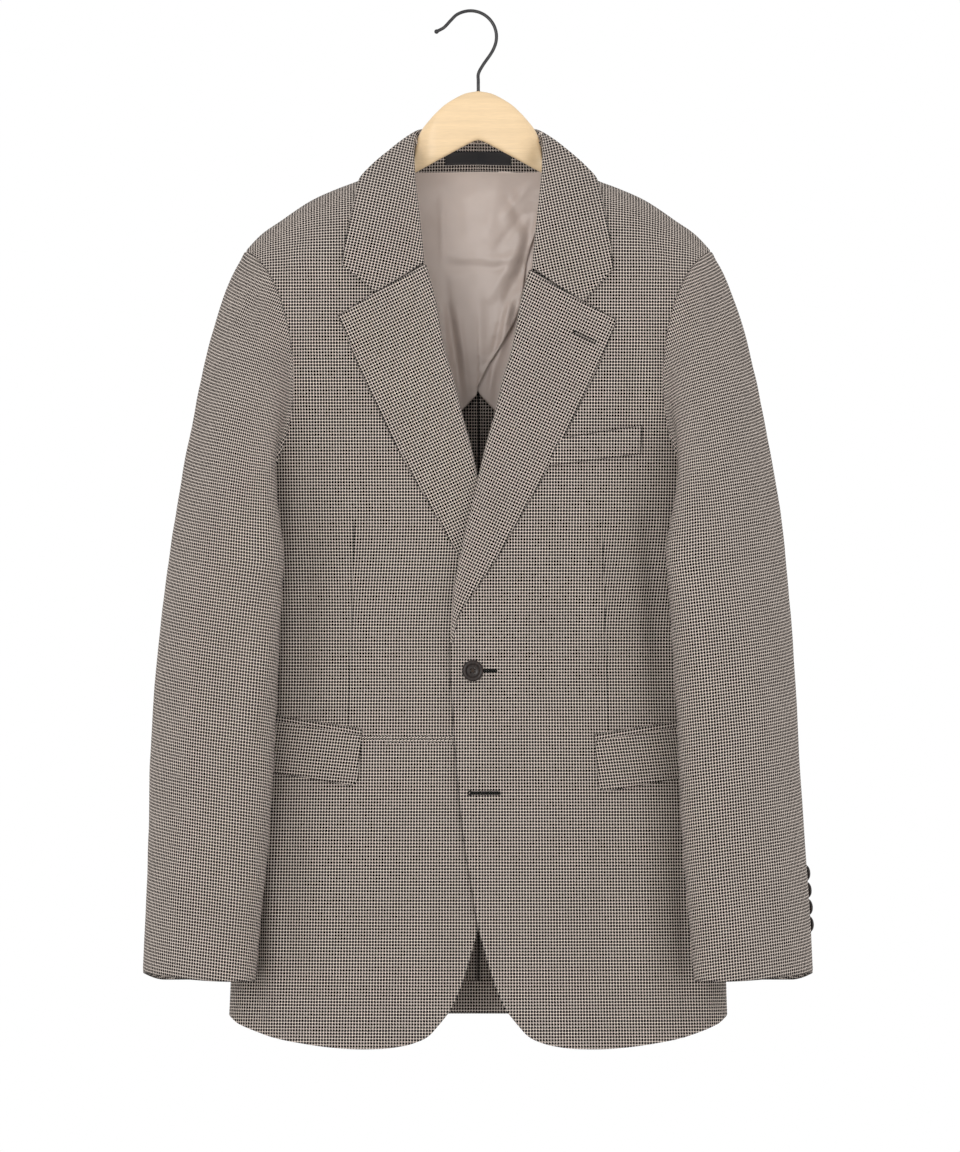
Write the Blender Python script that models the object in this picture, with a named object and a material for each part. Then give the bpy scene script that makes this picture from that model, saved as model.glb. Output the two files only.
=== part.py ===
"""A houndstooth sport jacket, single breasted with two buttons, hanging on a wooden hanger.

Lengths in this file are millimetres until to_world() and the makers of meshes turn them into metres.
A place on the jacket is given by three lengths: out, sideways from the centre line towards the
sleeve; depth, from front (less) to back (more); drop, down from the hook's inner crown.
The wearer's left is +X and the front faces -Y.
"""
import math
from collections import namedtuple

import bmesh
import bpy
from mathutils import Vector

MM = 0.001
SIDES = {"left": 1, "right": -1}

# ---------------------------------------------------------------- driving sizes
CENTRE_X = 7.0          # the hanger's stem and the jacket's centre line, right of the hook's crown
CLOTH = 2.0             # wall of the suiting with its canvas
SEAM = 0.4              # gap between two panels at a seam
ARMHOLE_GAP = 0.7       # and between the sleeves and the body
CLEAR = 0.5             # air under a piece that lies on a panel

# the body, a flattened tube, at levels from the neck to the hem
Section = namedtuple("Section", "drop half_width front back")
BODY = (
    Section(100, 221.0, -34, 52),
    Section(215, 221.0, -37, 59),
    Section(426, 218.3, -38, 62),
    Section(565, 214.5, -36, 56),
    Section(720, 219.0, -38, 58),
    Section(871, 223.5, -40, 61),
    Section(935, 226.0, -40, 62),
)
SIDE_DEPTH = 18.0       # depth of the tube's side edge
ROUNDNESS = 2.3         # exponent of the tube's section, 2 being an ellipse
ROOF = 65.0             # height over which the cloth turns over the shoulder

# the shoulder seam, from the middle of the neck to the sleeve
Point = namedtuple("Point", "drop out")
SHOULDER = (
    Point(104, 0), Point(129.5, 58), Point(143.5, 88), Point(152, 109), Point(159.5, 129),
    Point(169, 150), Point(187.5, 178), Point(201, 197), Point(217, 212),
)
RIDGE_NECK = 2.0        # depth of the shoulder seam at the neck
RIDGE_TIP = 16.0        # and at the sleeve
NECK_OUT = 62.0         # where collar and shoulder seam meet
NECK_BACK_DROP = 126.0  # the back neckline under the collar

# the armhole, an oval seen from the front
ARMHOLE_OUT = 213.75
ARMHOLE_DROP = 320.7
ARMHOLE_HALF_HEIGHT = 105.3
ARMHOLE_LEAN = 4.5
ARMHOLE_FRONT_CUT = 46.8
ARMHOLE_BACK_CUT = 38.0
ARMHOLE_SAG = 19.8
ARMHOLE_STEP = 15       # degrees between the points of the armhole seam
FRONT_STEPS = 9         # steps of the armhole on the front, side and back panels
SIDE_STEPS = 5
BACK_STEPS = 10

# the front's inner line: neck, roll of the lapel, edge with the buttons, rounded corner
INNER_LINE = (
    Point(131, 62), Point(149, 60), Point(169, 57.5), Point(197, 54), Point(225, 49.5),
    Point(258, 41), Point(304, 32.5), Point(331, 24.5), Point(360, 17.5), Point(391, 9),
    Point(430, 0), Point(463, -8), Point(503, -16.5), Point(534, -21.5), Point(571, -25.5),
    Point(641, -22.5), Point(696, -18.5), Point(733, -15), Point(763, -11), Point(792, -6),
    Point(821, -1.5), Point(839, 3.5), Point(863, 10.5), Point(884, 18), Point(899, 25.5),
    Point(910, 34),
)
LAPEL_TOP = 227.6       # drop of the lapel's roll just under the gorge
LAPEL_EDGE = (
    Point(274, 126), Point(297, 117.5), Point(329, 105), Point(361, 89), Point(398, 70.5),
    Point(421, 57.5), Point(451, 40), Point(475, 26.5), Point(499, 12.5), Point(520, -2),
    Point(543, -16.5), Point(571, -22.5),
)
NOTCH = Point(251.5, 97)
COLLAR_CORNER = Point(228, 122.5)

# the front's hem, from the rounded corner to the side
HEM = (
    Point(910, 34), Point(921, 44), Point(928, 58), Point(931.5, 73), Point(933.5, 100),
    Point(932.5, 128), Point(928.5, 159), Point(924, 182), Point(917, 203), Point(908, 224),
)
HEM_BACK = 904.0
SIDE_SEAM_HEM = 0.292   # where the seams cut the hem, as a share of the way round the body
BACK_SEAM_HEM = {"left": 0.468, "right": 0.515}

# how far the wearer's left front stands off where it laps over the right one
Lift = namedtuple("Lift", "drop height")
OVERLAP = (
    Lift(225, 0), Lift(330, 0.5), Lift(400, 6.5), Lift(450, 8.4), Lift(520, 8.6), Lift(571, 6.6),
    Lift(650, 5.8), Lift(703, 7.6), Lift(780, 5.0), Lift(850, 3.6), Lift(912, 2.6),
)
OVERLAP_FADE = 110.0    # width over which it settles back on the body

# the body's rows below the armhole, and how far its panels keep from their seams
LOWER_ROWS = 15
CENTRE_TRIM = 0.0002    # the seam gap at the centre back, where a small turn is a long way across
SEAM_TRIM = 0.0014      # the same at the other seams, as a share of a panel
SIDE_TRIM = 0.002       # and on the narrow side panel
SHOULDER_TRIM = 0.4     # the way down from the shoulder seam at which front and back end
SHOULDER_ROWS = (0.0, 0.05, 0.3, 1.0)   # closer rows where the cloth turns over the shoulder

# soft folds of the body: a trough (less) or ridge (more) down the cloth
Fold = namedtuple("Fold", "face side out lean top bottom width height")
FOLDS = (
    Fold("front", 1, 96, 0.05, 430, 640, 15, 1.6),
    Fold("front", 1, 152, 0.10, 420, 760, 15, -2.6),
    Fold("front", -1, 62, -0.02, 640, 900, 20, 1.6),
    Fold("front", -1, 150, 0.08, 430, 720, 16, -2.4),
    Fold("front", 1, 60, 0.08, 690, 905, 20, 1.5),
    Fold("back", 1, 120, 0.16, 300, 640, 20, -3.2),
    Fold("back", -1, 128, 0.14, 330, 700, 22, -3.4),
    Fold("back", 1, 60, 0.04, 560, 880, 24, 2.2),
    Fold("back", -1, 70, 0.06, 540, 860, 22, 2.0),
)

# the sleeves: what the front view shows at each level, the turn and thickness of the oval
Sleeve = namedtuple("Sleeve", "drop right_out right_in left_out left_in turn thick depth")
SLEEVES = (
    Sleeve(493, 278.5, 174.5, 277.0, 168.5, 35, 68, -38),
    Sleeve(565, 287.5, 178.5, 283.0, 174.0, 35, 74, -37),
    Sleeve(673, 295.5, 183.5, 289.5, 179.5, 34, 77, -34),
    Sleeve(745, 297.0, 188.0, 294.0, 183.0, 32, 76, -32),
    Sleeve(799, 299.0, 193.5, 298.0, 187.5, 31, 73, -31),
    Sleeve(872, 302.5, 200.0, 302.0, 194.0, 29, 70, -28),
)
SLEEVE_TOP_DROP = 493.0
CUFF_DROP = 872.0
CUFF_RISE = 7.0         # the cuff's outer edge is higher
SLEEVE_TWIST = 55.0     # the oval is turned against the armhole, degrees at the underarm
CAP_ROWS = 8
SLEEVE_ROWS = 19
SEAM_STEPS = 12         # steps round the top or the under sleeve
HIND_SEAM = -45         # place of the sleeves' back seam on the armhole, degrees
CAP_SPRING = Vector((0.75, 0.0, 0.75))      # direction in which the sleeve leaves the armhole
FORWARD_SPRING = Vector((0.0, -0.55, 0.0))  # added at the front of the armhole
UNDER_SPRING = Vector((1.6, -0.25, -0.2))   # and under the arm
SLEEVE_SEAM_GAP = 0.32  # half of the gap at a sleeve seam, degrees
SLEEVE_TOP_GAP = 0.55   # more of it beside the armhole
CAP_REACH = 0.42        # how strongly the sleeve head springs from the armhole

# the collar's fold line, from the middle of the back neck to the gorge
Edge = namedtuple("Edge", "out depth drop")
COLLAR_FOLD = (
    Edge(0, 42, 103.5), Edge(25, 40, 103), Edge(42, 31.5, 103), Edge(51, 20, 104), Edge(55.5, 8, 107),
    Edge(57.5, -6, 112.5), Edge(58, -17, 121), Edge(58, -29, 134), Edge(57, -37, 150),
    Edge(54, -41.5, 171), Edge(50.5, -44, 198), Edge(48.5, -45, 226),
)
# its outer edge, lying on the shoulders and fronts
COLLAR_EDGE = (
    Edge(0, 1, 152), Edge(36, 1, 154), Edge(70, 1, 157), Edge(95, 1, 155.5), Edge(103, 0.35, 151.5),
    Edge(108, -1, 158), Edge(112.5, -1, 175), Edge(116, -1, 190), Edge(119.5, -1, 208),
    Edge(122.5, -1, 228),
)
COLLAR_WALL = 2.2
COLLAR_ROLL = Vector((0.42, 0.8, 0.12))     # pull of the collar's roll, as shares of its spread
COLLAR_EASE = 0.9       # air under the collar's outer edge
COLLAR_RIDGE = 1.8      # more of it over the shoulder seam
RIDGE_SPREAD = 0.09     # share of the collar that the seam lifts
ENDS_FROM = 0.55        # share of the collar from which it lies on the front
GORGE_HEIGHT = 5.2      # how high it stands at the fold there
GORGE_GAP = 0.8         # between the collar's end and the notch
STAND_DROP = 3.4        # the stand's top edge below the fold line
STAND_WALL = 1.6
STAND_REACH = 0.5       # share of the fold line that the stand follows
STAND_IN = 0.985        # the stand lies this much closer to the neck
STAND_END = 11.0        # height of the stand at its ends

LAPEL_WALL = 2.2
LAPEL_COLUMNS = 8
NOTCH_COLUMN = 6        # the column of the lapel's mesh that meets the notch
LAPEL_END = {"left": 563.0, "right": 508.0}     # drop of the lapels' lower ends
LAPEL_INSIDE = 2.6      # the roll lies this far inside the front's edge
LAPEL_LEAST = 3.5       # least width of a lapel
NOTCH_GAP = 0.6         # between the lapel and the notch
ROLL_SHARE = 0.1        # share of the lapel's width that turns over
LAPEL_ROLL = 6.0        # how far the rolled edge stands off, high on the lapel
LAPEL_ROLL_LOW = 3.2    # and near the break

POCKET_WALL = 1.6
FLAP_HEIGHT = 47.0
FLAP_INNER_OUT = 104.5
FLAP_OUTER_OUT = 196.0
FLAP_SLOPE = 0.16       # the flap rises towards the side
FLAP_DROP = {"left": 655.5, "right": 650.5}
FLAP_LEAN = 3.5         # how far the flap's inner edge leans outwards
FLAP_CORNER = 5.0       # rounding of its inner corner
JET_HEIGHT = 5.5
JET_WALL = 1.2
WELT_HEIGHT = 26.0
WELT_OUTER = Point(372, 147.5)
WELT_INNER = Point(382.5, 79.5)

FRONT_BUTTON = Point(593, -5)
LOWER_BUTTON = Point(703, -5)
FRONT_BUTTON_RADIUS = 10.0
FRONT_BUTTON_THICK = 4.0
LOWER_BUTTON_THICK = 2.6
SLEEVE_BUTTON_RADIUS = 7.5
SLEEVE_BUTTON_THICK = 3.2
SLEEVE_BUTTONS = (779, 794.6, 810.2, 825.8)
# their place round the sleeve, counted forward from its back seam; the right sleeve hangs turned back
SLEEVE_BUTTON_DEGREES = {"left": 9, "right": -20}
BUTTON_SEAT = 0.4               # air under a button

LINING_WALL = 1.0
LINING_TOP = 144.0
LINING_EDGE = (
    Point(340, 0), Point(356, 10), Point(366, 22), Point(392, 60), Point(414, 110), Point(420, 158),
)
LINING_AIR = 1.4        # the lining hangs this far off the back at its top
LINING_AIR_LOW = 4.0    # and at its lower edge
LINING_HALF_WIDTH = 158.0
LINING_BELOW_RIDGE = 26.0
INSIDE_WALL = 1.0       # wall of the facing, the label and the turned-up hem
FACING_HALF_WIDTH = 44.0
FACING_TOP = 122.0      # places on the back's outer face; the strips lie inside it and a little lower
FACING_BELOW_RIDGE = 6.6
LABEL_HALF_WIDTH = 30.0
LABEL_TOP = 122.2
LABEL_BOTTOM = 134.0
TURN_UP = 30.0          # height of the turned-up hem inside the back
TURN_UP_HALF_WIDTH = 150.0

DOME_RADIUS = 53.5
DOME_CENTRE_DROP = 125.5
DOME_EDGE = 0.985       # share of the radius at which the arms take over
DOME_DEGREES = (0, 12, 24, 36, 48, 60, 70, 79)
ARM_STATIONS = (54.5, 62, 74, 88, 102, 118, 134, 150, 166, 178)
VEE_DROP = 115.0
VEE_SLOPE = 0.546
ARM_OUT = 184.0
TIP_FROM = 0.93         # share of the arm from which its tip is rounded
TIP_TAPER = 0.35
DOME_FLATNESS = 0.55    # exponents of the wood's section, 1 being an ellipse
ARM_FLATNESS = 0.85
ARM_GAP = 0.8
HANGER_HALF_THICK = 6.5
NECK_WAIST = 0.32       # the wood is thinner where the dome meets the arms and the back neckline passes
NECK_WAIST_OUT = 51.0
NECK_WAIST_SPREAD = 7.0

HOOK_STEM = (Point(71.3, 7.0), Point(62, 7.0), Point(55.0, 7.2), Point(47.0, 11.5), Point(37.0, 18.5))
HOOK_TIP = (Point(7.8, -18.4), Point(13.6, -24.0), Point(17.2, -30.6))
HOOK_POINTS = 34
HOOK_END = 1.25         # the wire's tip is this much thicker
HOOK_RADIUS = 1.5
HOOK_BEND = 23.4        # radius of the crown
HOOK_CENTRE_DROP = 21.9


# ---------------------------------------------------------------- curves and tables
def smooth(rows, value, key="drop"):
    """A smooth function through one column of a table, flat beyond its ends."""
    xs = [getattr(row, key) for row in rows]
    ys = [getattr(row, value) for row in rows]
    if xs[0] > xs[-1]:
        xs.reverse()
        ys.reverse()
    chords = [(ys[i + 1] - ys[i]) / (xs[i + 1] - xs[i]) for i in range(len(xs) - 1)]
    slopes = [chords[0]]
    for i in range(1, len(chords)):
        before = xs[i] - xs[i - 1]
        after = xs[i + 1] - xs[i]
        slopes.append((chords[i - 1] * after + chords[i] * before) / (before + after))
    slopes.append(chords[-1])

    def read(x):
        x = min(max(x, xs[0]), xs[-1])
        i = 0
        while i < len(xs) - 2 and x > xs[i + 1]:
            i += 1
        length = xs[i + 1] - xs[i]
        t = (x - xs[i]) / length
        return hermite(ys[i], slopes[i] * length, ys[i + 1], slopes[i + 1] * length, t)

    return read


def hermite(start, start_slope, end, end_slope, t):
    return (start * (1 + 2 * t) * (1 - t) ** 2 + start_slope * t * (1 - t) ** 2
            + end * t * t * (3 - 2 * t) - end_slope * t * t * (1 - t))


def mix(a, b, t):
    return a + (b - a) * t


def ease(t):
    t = min(max(t, 0.0), 1.0)
    return t * t * (3 - 2 * t)


half_width = smooth(BODY, "half_width")
front_depth = smooth(BODY, "front")
back_depth = smooth(BODY, "back")
shoulder_drop = smooth(SHOULDER, "drop", "out")
inner_out = smooth(INNER_LINE, "out")
lapel_edge_out = smooth(LAPEL_EDGE, "out")
hem_drop_at = smooth(HEM, "drop", "out")
overlap_height = smooth(OVERLAP, "height")
lining_edge = smooth(LINING_EDGE, "drop", "out")


# ---------------------------------------------------------------- the body's outer face
def ridge_depth(out):
    return mix(RIDGE_NECK, RIDGE_TIP, (out / ARMHOLE_OUT) ** 2)


def roof(down):
    """How far a place `down` the cloth from the shoulder seam has dropped, and how far it has come out."""
    if down < ROOF * math.pi / 2:
        return ROOF * (1 - math.cos(down / ROOF)), math.sin(down / ROOF)
    return down - ROOF * (math.pi / 2 - 1), 1.0


def fold_height(side, back, out, drop):
    height = 0.0
    for fold in FOLDS:
        if (fold.face == "back") != back or fold.side != side or not fold.top < drop < fold.bottom:
            continue
        along = (drop - fold.top) / (fold.bottom - fold.top)
        away = (out - fold.out - fold.lean * (drop - fold.top)) / fold.width
        height += fold.height * math.sin(math.pi * along) ** 0.8 * math.exp(-away * away)
    return height


def body_point(side, turn, down):
    """turn runs from 0 at the centre front over 0.5 at the side edge to 1 at the centre back."""
    angle = math.pi * turn
    reach = math.copysign(abs(math.sin(angle)) ** (2 / ROUNDNESS), math.sin(angle))
    bulge = abs(math.cos(angle)) ** (2 / ROUNDNESS)
    fallen, come_out = roof(down)
    drop = ARMHOLE_DROP
    for _ in range(4):
        out = half_width(drop) * reach
        drop = shoulder_drop(abs(out)) + fallen
    back = turn > 0.5
    face = back_depth(drop) if back else front_depth(drop)
    section = mix(SIDE_DEPTH, face, bulge)
    depth = mix(ridge_depth(out), section, come_out)
    puff = fold_height(side, back, out, drop) * come_out
    return Vector((out, depth + (puff if back else -puff), drop))


def body_normal(side, turn, down):
    step = 0.002
    along = body_point(side, turn + step, down) - body_point(side, turn - step, down)
    low = max(down - 1.0, 0.0)
    fall = body_point(side, turn, down + 1.0) - body_point(side, turn, low)
    return along.cross(fall).normalized()


def on_body(out, drop, back=False):
    """The (turn, down) of a place seen from the front or from the back."""
    below = max(drop - shoulder_drop(abs(out)), 0.0)
    down = ROOF * math.acos(1 - below / ROOF) if below < ROOF else below + ROOF * (math.pi / 2 - 1)
    reach = min(abs(out) / half_width(drop), 1.0)
    turn = math.copysign(math.asin(reach ** (ROUNDNESS / 2)) / math.pi, out)
    return (1 - turn if back else turn), down


def lift(side, out, drop):
    """How far the lapping front stands off the body near its edge."""
    if side < 0:
        return 0.0
    from_edge = out - inner_out(drop)
    return overlap_height(drop) * (1 - ease(from_edge / OVERLAP_FADE))


def raised(side, turn, down, height):
    """A point that lies `height` outside the front or back panel there."""
    point = body_point(side, turn, down)
    normal = body_normal(side, turn, down)
    if turn < 0.5:
        height += lift(side, point.x, point.z)
    return point + normal * height, normal


def on_front(side, out, drop, height):
    return raised(side, *on_body(out, drop), height)[0]


def on_back(side, out, drop, height):
    return raised(side, *on_body(out, drop, True), height)[0]


# ---------------------------------------------------------------- seams
def armhole(degrees):
    """The armhole seam as (turn, down): 0 on the shoulder, 90 at the front, 180 under the arm."""
    angle = math.radians(degrees)
    forward = math.sin(angle)
    cut = ARMHOLE_FRONT_CUT if forward > 0 else ARMHOLE_BACK_CUT
    out = ARMHOLE_OUT - ARMHOLE_LEAN * math.cos(angle) - cut * abs(forward)
    drop = ARMHOLE_DROP - ARMHOLE_HALF_HEIGHT * math.cos(angle) + ARMHOLE_SAG * abs(forward)
    turn, down = on_body(out, drop, forward < 0)
    if abs(math.cos(angle) - 1) < 1e-6:
        down = 0.0
    return turn, down


def hem_drop(turn):
    if turn > 0.5:
        return HEM_BACK
    out = half_width(HEM_BACK) * abs(math.sin(math.pi * turn)) ** (2 / ROUNDNESS)
    return mix(hem_drop_at(out), HEM_BACK, ease((turn - 0.4) / 0.1))


def down_at(turn, drop):
    """The way down the cloth to a drop, below the rounding of the shoulders."""
    out = half_width(drop) * abs(math.sin(math.pi * turn)) ** (2 / ROUNDNESS)
    return drop - shoulder_drop(out) + ROOF * (math.pi / 2 - 1)


def lower_share(row):
    """Rows below the armhole lie closer together towards the rounded hem."""
    t = row / LOWER_ROWS
    return 1 - (1 - t) ** 1.45


def seam_below(start, hem_turn, row):
    """A side seam's place in a row below the armhole, from its start on the armhole to the hem."""
    share = lower_share(row)
    turn = mix(start[0], hem_turn, share)
    end = down_at(hem_turn, hem_drop(hem_turn))
    return turn, mix(start[1], end, share)


def patch(top, bottom, inner, outer, trim=SEAM_TRIM, inner_trim=None, top_trim=0.0):
    """Fills the four-sided pattern piece between its edges, each a function of 0 to 1."""
    corners = (inner(0), outer(0), inner(1), outer(1))
    first = trim if inner_trim is None else inner_trim

    def place(across, along):
        c = mix(first, 1 - trim, across)
        r = mix(top_trim, 1 - trim, along)
        result = []
        for k in range(2):
            value = mix(inner(r)[k], outer(r)[k], c) + mix(top(c)[k], bottom(c)[k], r)
            value -= mix(mix(corners[0][k], corners[1][k], c), mix(corners[2][k], corners[3][k], c), r)
            result.append(value)
        return result

    return place


# ---------------------------------------------------------------- making meshes
def to_world(side, point):
    return Vector((CENTRE_X + side * point.x, point.y, -point.z)) * MM


def make_object(name, bm, material, collection):
    bmesh.ops.recalc_face_normals(bm, faces=bm.faces[:])
    mesh = bpy.data.meshes.new(name)
    bm.to_mesh(mesh)
    bm.free()
    mesh.shade_smooth()
    mesh.materials.append(material)
    piece = bpy.data.objects.new(name, mesh)
    collection.objects.link(piece)
    return piece


def cloth(name, side, place, columns, rows, wall, material, collection):
    """A sheet with a wall: place(c, r) gives its outer face and the direction the wall is measured in."""
    bm = bmesh.new()
    bmesh.ops.create_grid(bm, x_segments=columns, y_segments=rows, size=0.5)
    across = bm.verts.layers.float.new("across")
    along = bm.verts.layers.float.new("along")
    for vert in bm.verts:
        vert[across] = vert.co.x + 0.5
        vert[along] = vert.co.y + 0.5
    outer = bm.verts[:]
    extruded = bmesh.ops.extrude_face_region(bm, geom=bm.faces[:], use_keep_orig=True)
    inner = [item for item in extruded["geom"] if isinstance(item, bmesh.types.BMVert)]
    for verts, depth in ((outer, 0.0), (inner, wall)):
        for vert in verts:
            point, normal = place(vert[across], vert[along])
            vert.co = to_world(side, point - normal * depth)
    return make_object(name, bm, material, collection)


def with_normals(surface, facing):
    """Adds to a surface of (c, r) its own normal, pointing the way of `facing`."""
    step = 0.01

    def normal_at(c, r):
        across = surface(min(c + step, 1), r) - surface(max(c - step, 0), r)
        along = surface(c, min(r + step, 1)) - surface(c, max(r - step, 0))
        return across.cross(along).normalized()

    sign = 1 if normal_at(0.5, 0.5).dot(Vector(facing)) > 0 else -1

    def place(c, r):
        return surface(c, r), normal_at(c, r) * sign

    return place


FRONT = (0, -1, 0)
BACK = (0, 1, 0)


def disc(name, side, centre, axis, radius, thick, material, collection):
    """A sewn-on button: a round blank with a raised rim and a dished middle."""
    bm = bmesh.new()
    bmesh.ops.create_cone(bm, cap_ends=True, segments=20, radius1=radius, radius2=radius, depth=thick)
    face = max(bm.faces, key=lambda item: item.calc_center_median().z)
    bmesh.ops.inset_region(bm, faces=[face], thickness=0.2 * radius, depth=0.0)
    bmesh.ops.inset_region(bm, faces=[face], thickness=0.12 * radius, depth=-0.22 * thick)
    turn = Vector((0, 0, 1)).rotation_difference(Vector((side * axis.x, axis.y, -axis.z)))
    middle = to_world(side, centre + axis * thick / 2)
    for vert in bm.verts:
        vert.co = turn @ (vert.co * MM) + middle
    return make_object(name, bm, material, collection)


# ---------------------------------------------------------------- body panels
def panel(name, side, pattern, columns, rows, material, collection, levels=(0.0, 1.0)):
    """A panel of the body; `levels` are the rows on which its first row is divided."""
    extra = len(levels) - 2

    def place(c, r):
        step = r * (rows + extra)
        part = min(int(step), extra)
        row = mix(levels[part], levels[part + 1], step - part) if step <= extra + 1 else step - extra
        turn, down = pattern(c, row / rows)
        return raised(side, turn, max(down, SHOULDER_TRIM), 0.0)

    return cloth(name, side, place, columns, rows + extra, CLOTH, material, collection)


PANEL_ROWS = FRONT_STEPS + LOWER_ROWS
SIDE_START = armhole(FRONT_STEPS * ARMHOLE_STEP)
BACK_START = armhole((FRONT_STEPS + SIDE_STEPS) * ARMHOLE_STEP)
CORNER = INNER_LINE[-1]


def front_outer(r):
    row = r * PANEL_ROWS
    if row <= FRONT_STEPS:
        return armhole(row * ARMHOLE_STEP)
    return seam_below(SIDE_START, SIDE_SEAM_HEM, row - FRONT_STEPS)


def front_inner(r):
    row = r * PANEL_ROWS
    level = 408.0
    if row <= FRONT_STEPS:
        drop = mix(INNER_LINE[0].drop, level, row / FRONT_STEPS)
    else:
        drop = mix(level, CORNER.drop, lower_share(row - FRONT_STEPS))
    turn, down = on_body(inner_out(drop), drop)
    return (turn, 0.0) if r <= 0 else (turn, down)


def front_bottom(c):
    start = on_body(CORNER.out, CORNER.drop)[0]
    out = mix(CORNER.out, half_width(HEM_BACK) * math.sin(math.pi * SIDE_SEAM_HEM) ** (2 / ROUNDNESS), c)
    turn = mix(start, SIDE_SEAM_HEM, c) if c in (0, 1) else on_body(out, hem_drop_at(out))[0]
    return turn, down_at(turn, hem_drop_at(out))


def make_front(side_name, suiting, collection):
    neck_turn = on_body(INNER_LINE[0].out, INNER_LINE[0].drop)[0]
    tip_turn = armhole(0)[0]
    pattern = patch(lambda c: (mix(neck_turn, tip_turn, c), 0.0), front_bottom, front_inner, front_outer)
    panel(f"front_{side_name}", SIDES[side_name], pattern, 12, PANEL_ROWS, suiting, collection, SHOULDER_ROWS)


def make_side(side_name, suiting, collection):
    hem_turn = BACK_SEAM_HEM[side_name]
    first = FRONT_STEPS * ARMHOLE_STEP
    last = first + SIDE_STEPS * ARMHOLE_STEP

    def bottom(c):
        turn = mix(SIDE_SEAM_HEM, hem_turn, c)
        return turn, down_at(turn, hem_drop(turn))

    pattern = patch(
        lambda c: armhole(mix(first, last, c)),
        bottom,
        lambda r: seam_below(SIDE_START, SIDE_SEAM_HEM, r * LOWER_ROWS),
        lambda r: seam_below(BACK_START, hem_turn, r * LOWER_ROWS),
        trim=SIDE_TRIM,
        top_trim=SIDE_TRIM,
    )
    panel(f"side_{side_name}", SIDES[side_name], pattern, SIDE_STEPS, LOWER_ROWS, suiting, collection)


def make_back(side_name, suiting, collection):
    hem_turn = BACK_SEAM_HEM[side_name]
    rows = BACK_STEPS + LOWER_ROWS
    centre_drop_at_armhole = 410.0
    neck_share = 0.3

    def top(c):
        if c < neck_share:
            out = mix(0, NECK_OUT, c / neck_share)
            turn, down = on_body(out, max(NECK_BACK_DROP, shoulder_drop(out)), True)
            return turn, mix(down, 0.0, ease(c / neck_share) ** 3)
        neck_turn = on_body(NECK_OUT, NECK_BACK_DROP, True)[0]
        return mix(neck_turn, armhole(360)[0], (c - neck_share) / (1 - neck_share)), 0.0

    def bottom(c):
        turn = mix(1.0, hem_turn, c)
        return turn, down_at(turn, hem_drop(turn))

    def centre(r):
        row = r * rows
        start = on_body(0, NECK_BACK_DROP, True)[1]
        level = on_body(0, centre_drop_at_armhole, True)[1]
        if row <= BACK_STEPS:
            return 1.0, mix(start, level, row / BACK_STEPS)
        return 1.0, mix(level, down_at(1.0, HEM_BACK), lower_share(row - BACK_STEPS))

    def outer(r):
        row = r * rows
        if row <= BACK_STEPS:
            return armhole(360 - row * ARMHOLE_STEP)
        return seam_below(BACK_START, hem_turn, row - BACK_STEPS)

    pattern = patch(top, bottom, centre, outer, inner_trim=CENTRE_TRIM)
    panel(f"back_{side_name}", SIDES[side_name], pattern, 10, rows, suiting, collection, SHOULDER_ROWS)


# ---------------------------------------------------------------- sleeves
def oval(side, degrees, drop):
    """The sleeve's outer face at a level below the underarm."""
    name = "left" if side > 0 else "right"
    out_edge = smooth(SLEEVES, f"{name}_out")(drop)
    in_edge = smooth(SLEEVES, f"{name}_in")(drop)
    turn = math.radians(smooth(SLEEVES, "turn")(drop))
    half_thick = smooth(SLEEVES, "thick")(drop) / 2
    half_view = (out_edge - in_edge) / 2
    half_long = math.sqrt(half_view ** 2 - (half_thick * math.sin(turn)) ** 2) / math.cos(turn)
    angle = math.radians(degrees + SLEEVE_TWIST * math.sin(math.radians(degrees) / 2) ** 2) + turn
    along = half_long * math.cos(angle)
    through = half_thick * math.sin(angle)
    out = (out_edge + in_edge) / 2 + along * math.cos(turn) + through * math.sin(turn)
    depth = smooth(SLEEVES, "depth")(drop) + along * math.sin(turn) - through * math.cos(turn)
    return Vector((out, depth, drop))


def armhole_frame(side, degrees):
    """A point of the armhole seam, the body's normal there and the direction away from the body."""
    here = armhole(degrees % 360)
    point = body_point(side, *here)
    normal = body_normal(side, *here)
    ahead = body_point(side, *armhole((degrees + 2) % 360)) - body_point(side, *armhole((degrees - 2) % 360))
    away = normal.cross(ahead).normalized()
    if away.x < 0:
        away.negate()
    return point, normal, away


def sleeve_point(side, degrees, row):
    cuff = CUFF_DROP - CUFF_RISE * max(0.0, math.cos(math.radians(degrees))) ** 2
    if row >= CAP_ROWS:
        share = (row - CAP_ROWS) / (SLEEVE_ROWS - CAP_ROWS)
        return oval(side, degrees, mix(SLEEVE_TOP_DROP, cuff, share))
    start, _, away = armhole_frame(side, degrees)
    start += away * ARMHOLE_GAP
    end = oval(side, degrees, SLEEVE_TOP_DROP)
    chord = (end - start).length
    forward = math.sin(math.radians(degrees))
    under = max(0.0, -math.cos(math.radians(degrees)))
    spring = CAP_SPRING + FORWARD_SPRING * forward + UNDER_SPRING * under
    spring *= CAP_REACH * chord
    below = oval(side, degrees, SLEEVE_TOP_DROP + 1) - end
    t = row / CAP_ROWS
    return hermite(start, spring, end, below * chord, t)


def sleeve_normal(side, degrees, row):
    low = max(row - 0.05, 0)
    high = min(row + 0.05, SLEEVE_ROWS)
    down = sleeve_point(side, degrees, high) - sleeve_point(side, degrees, low)
    round_ = sleeve_point(side, degrees + 2, row) - sleeve_point(side, degrees - 2, row)
    return down.cross(round_).normalized()


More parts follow.
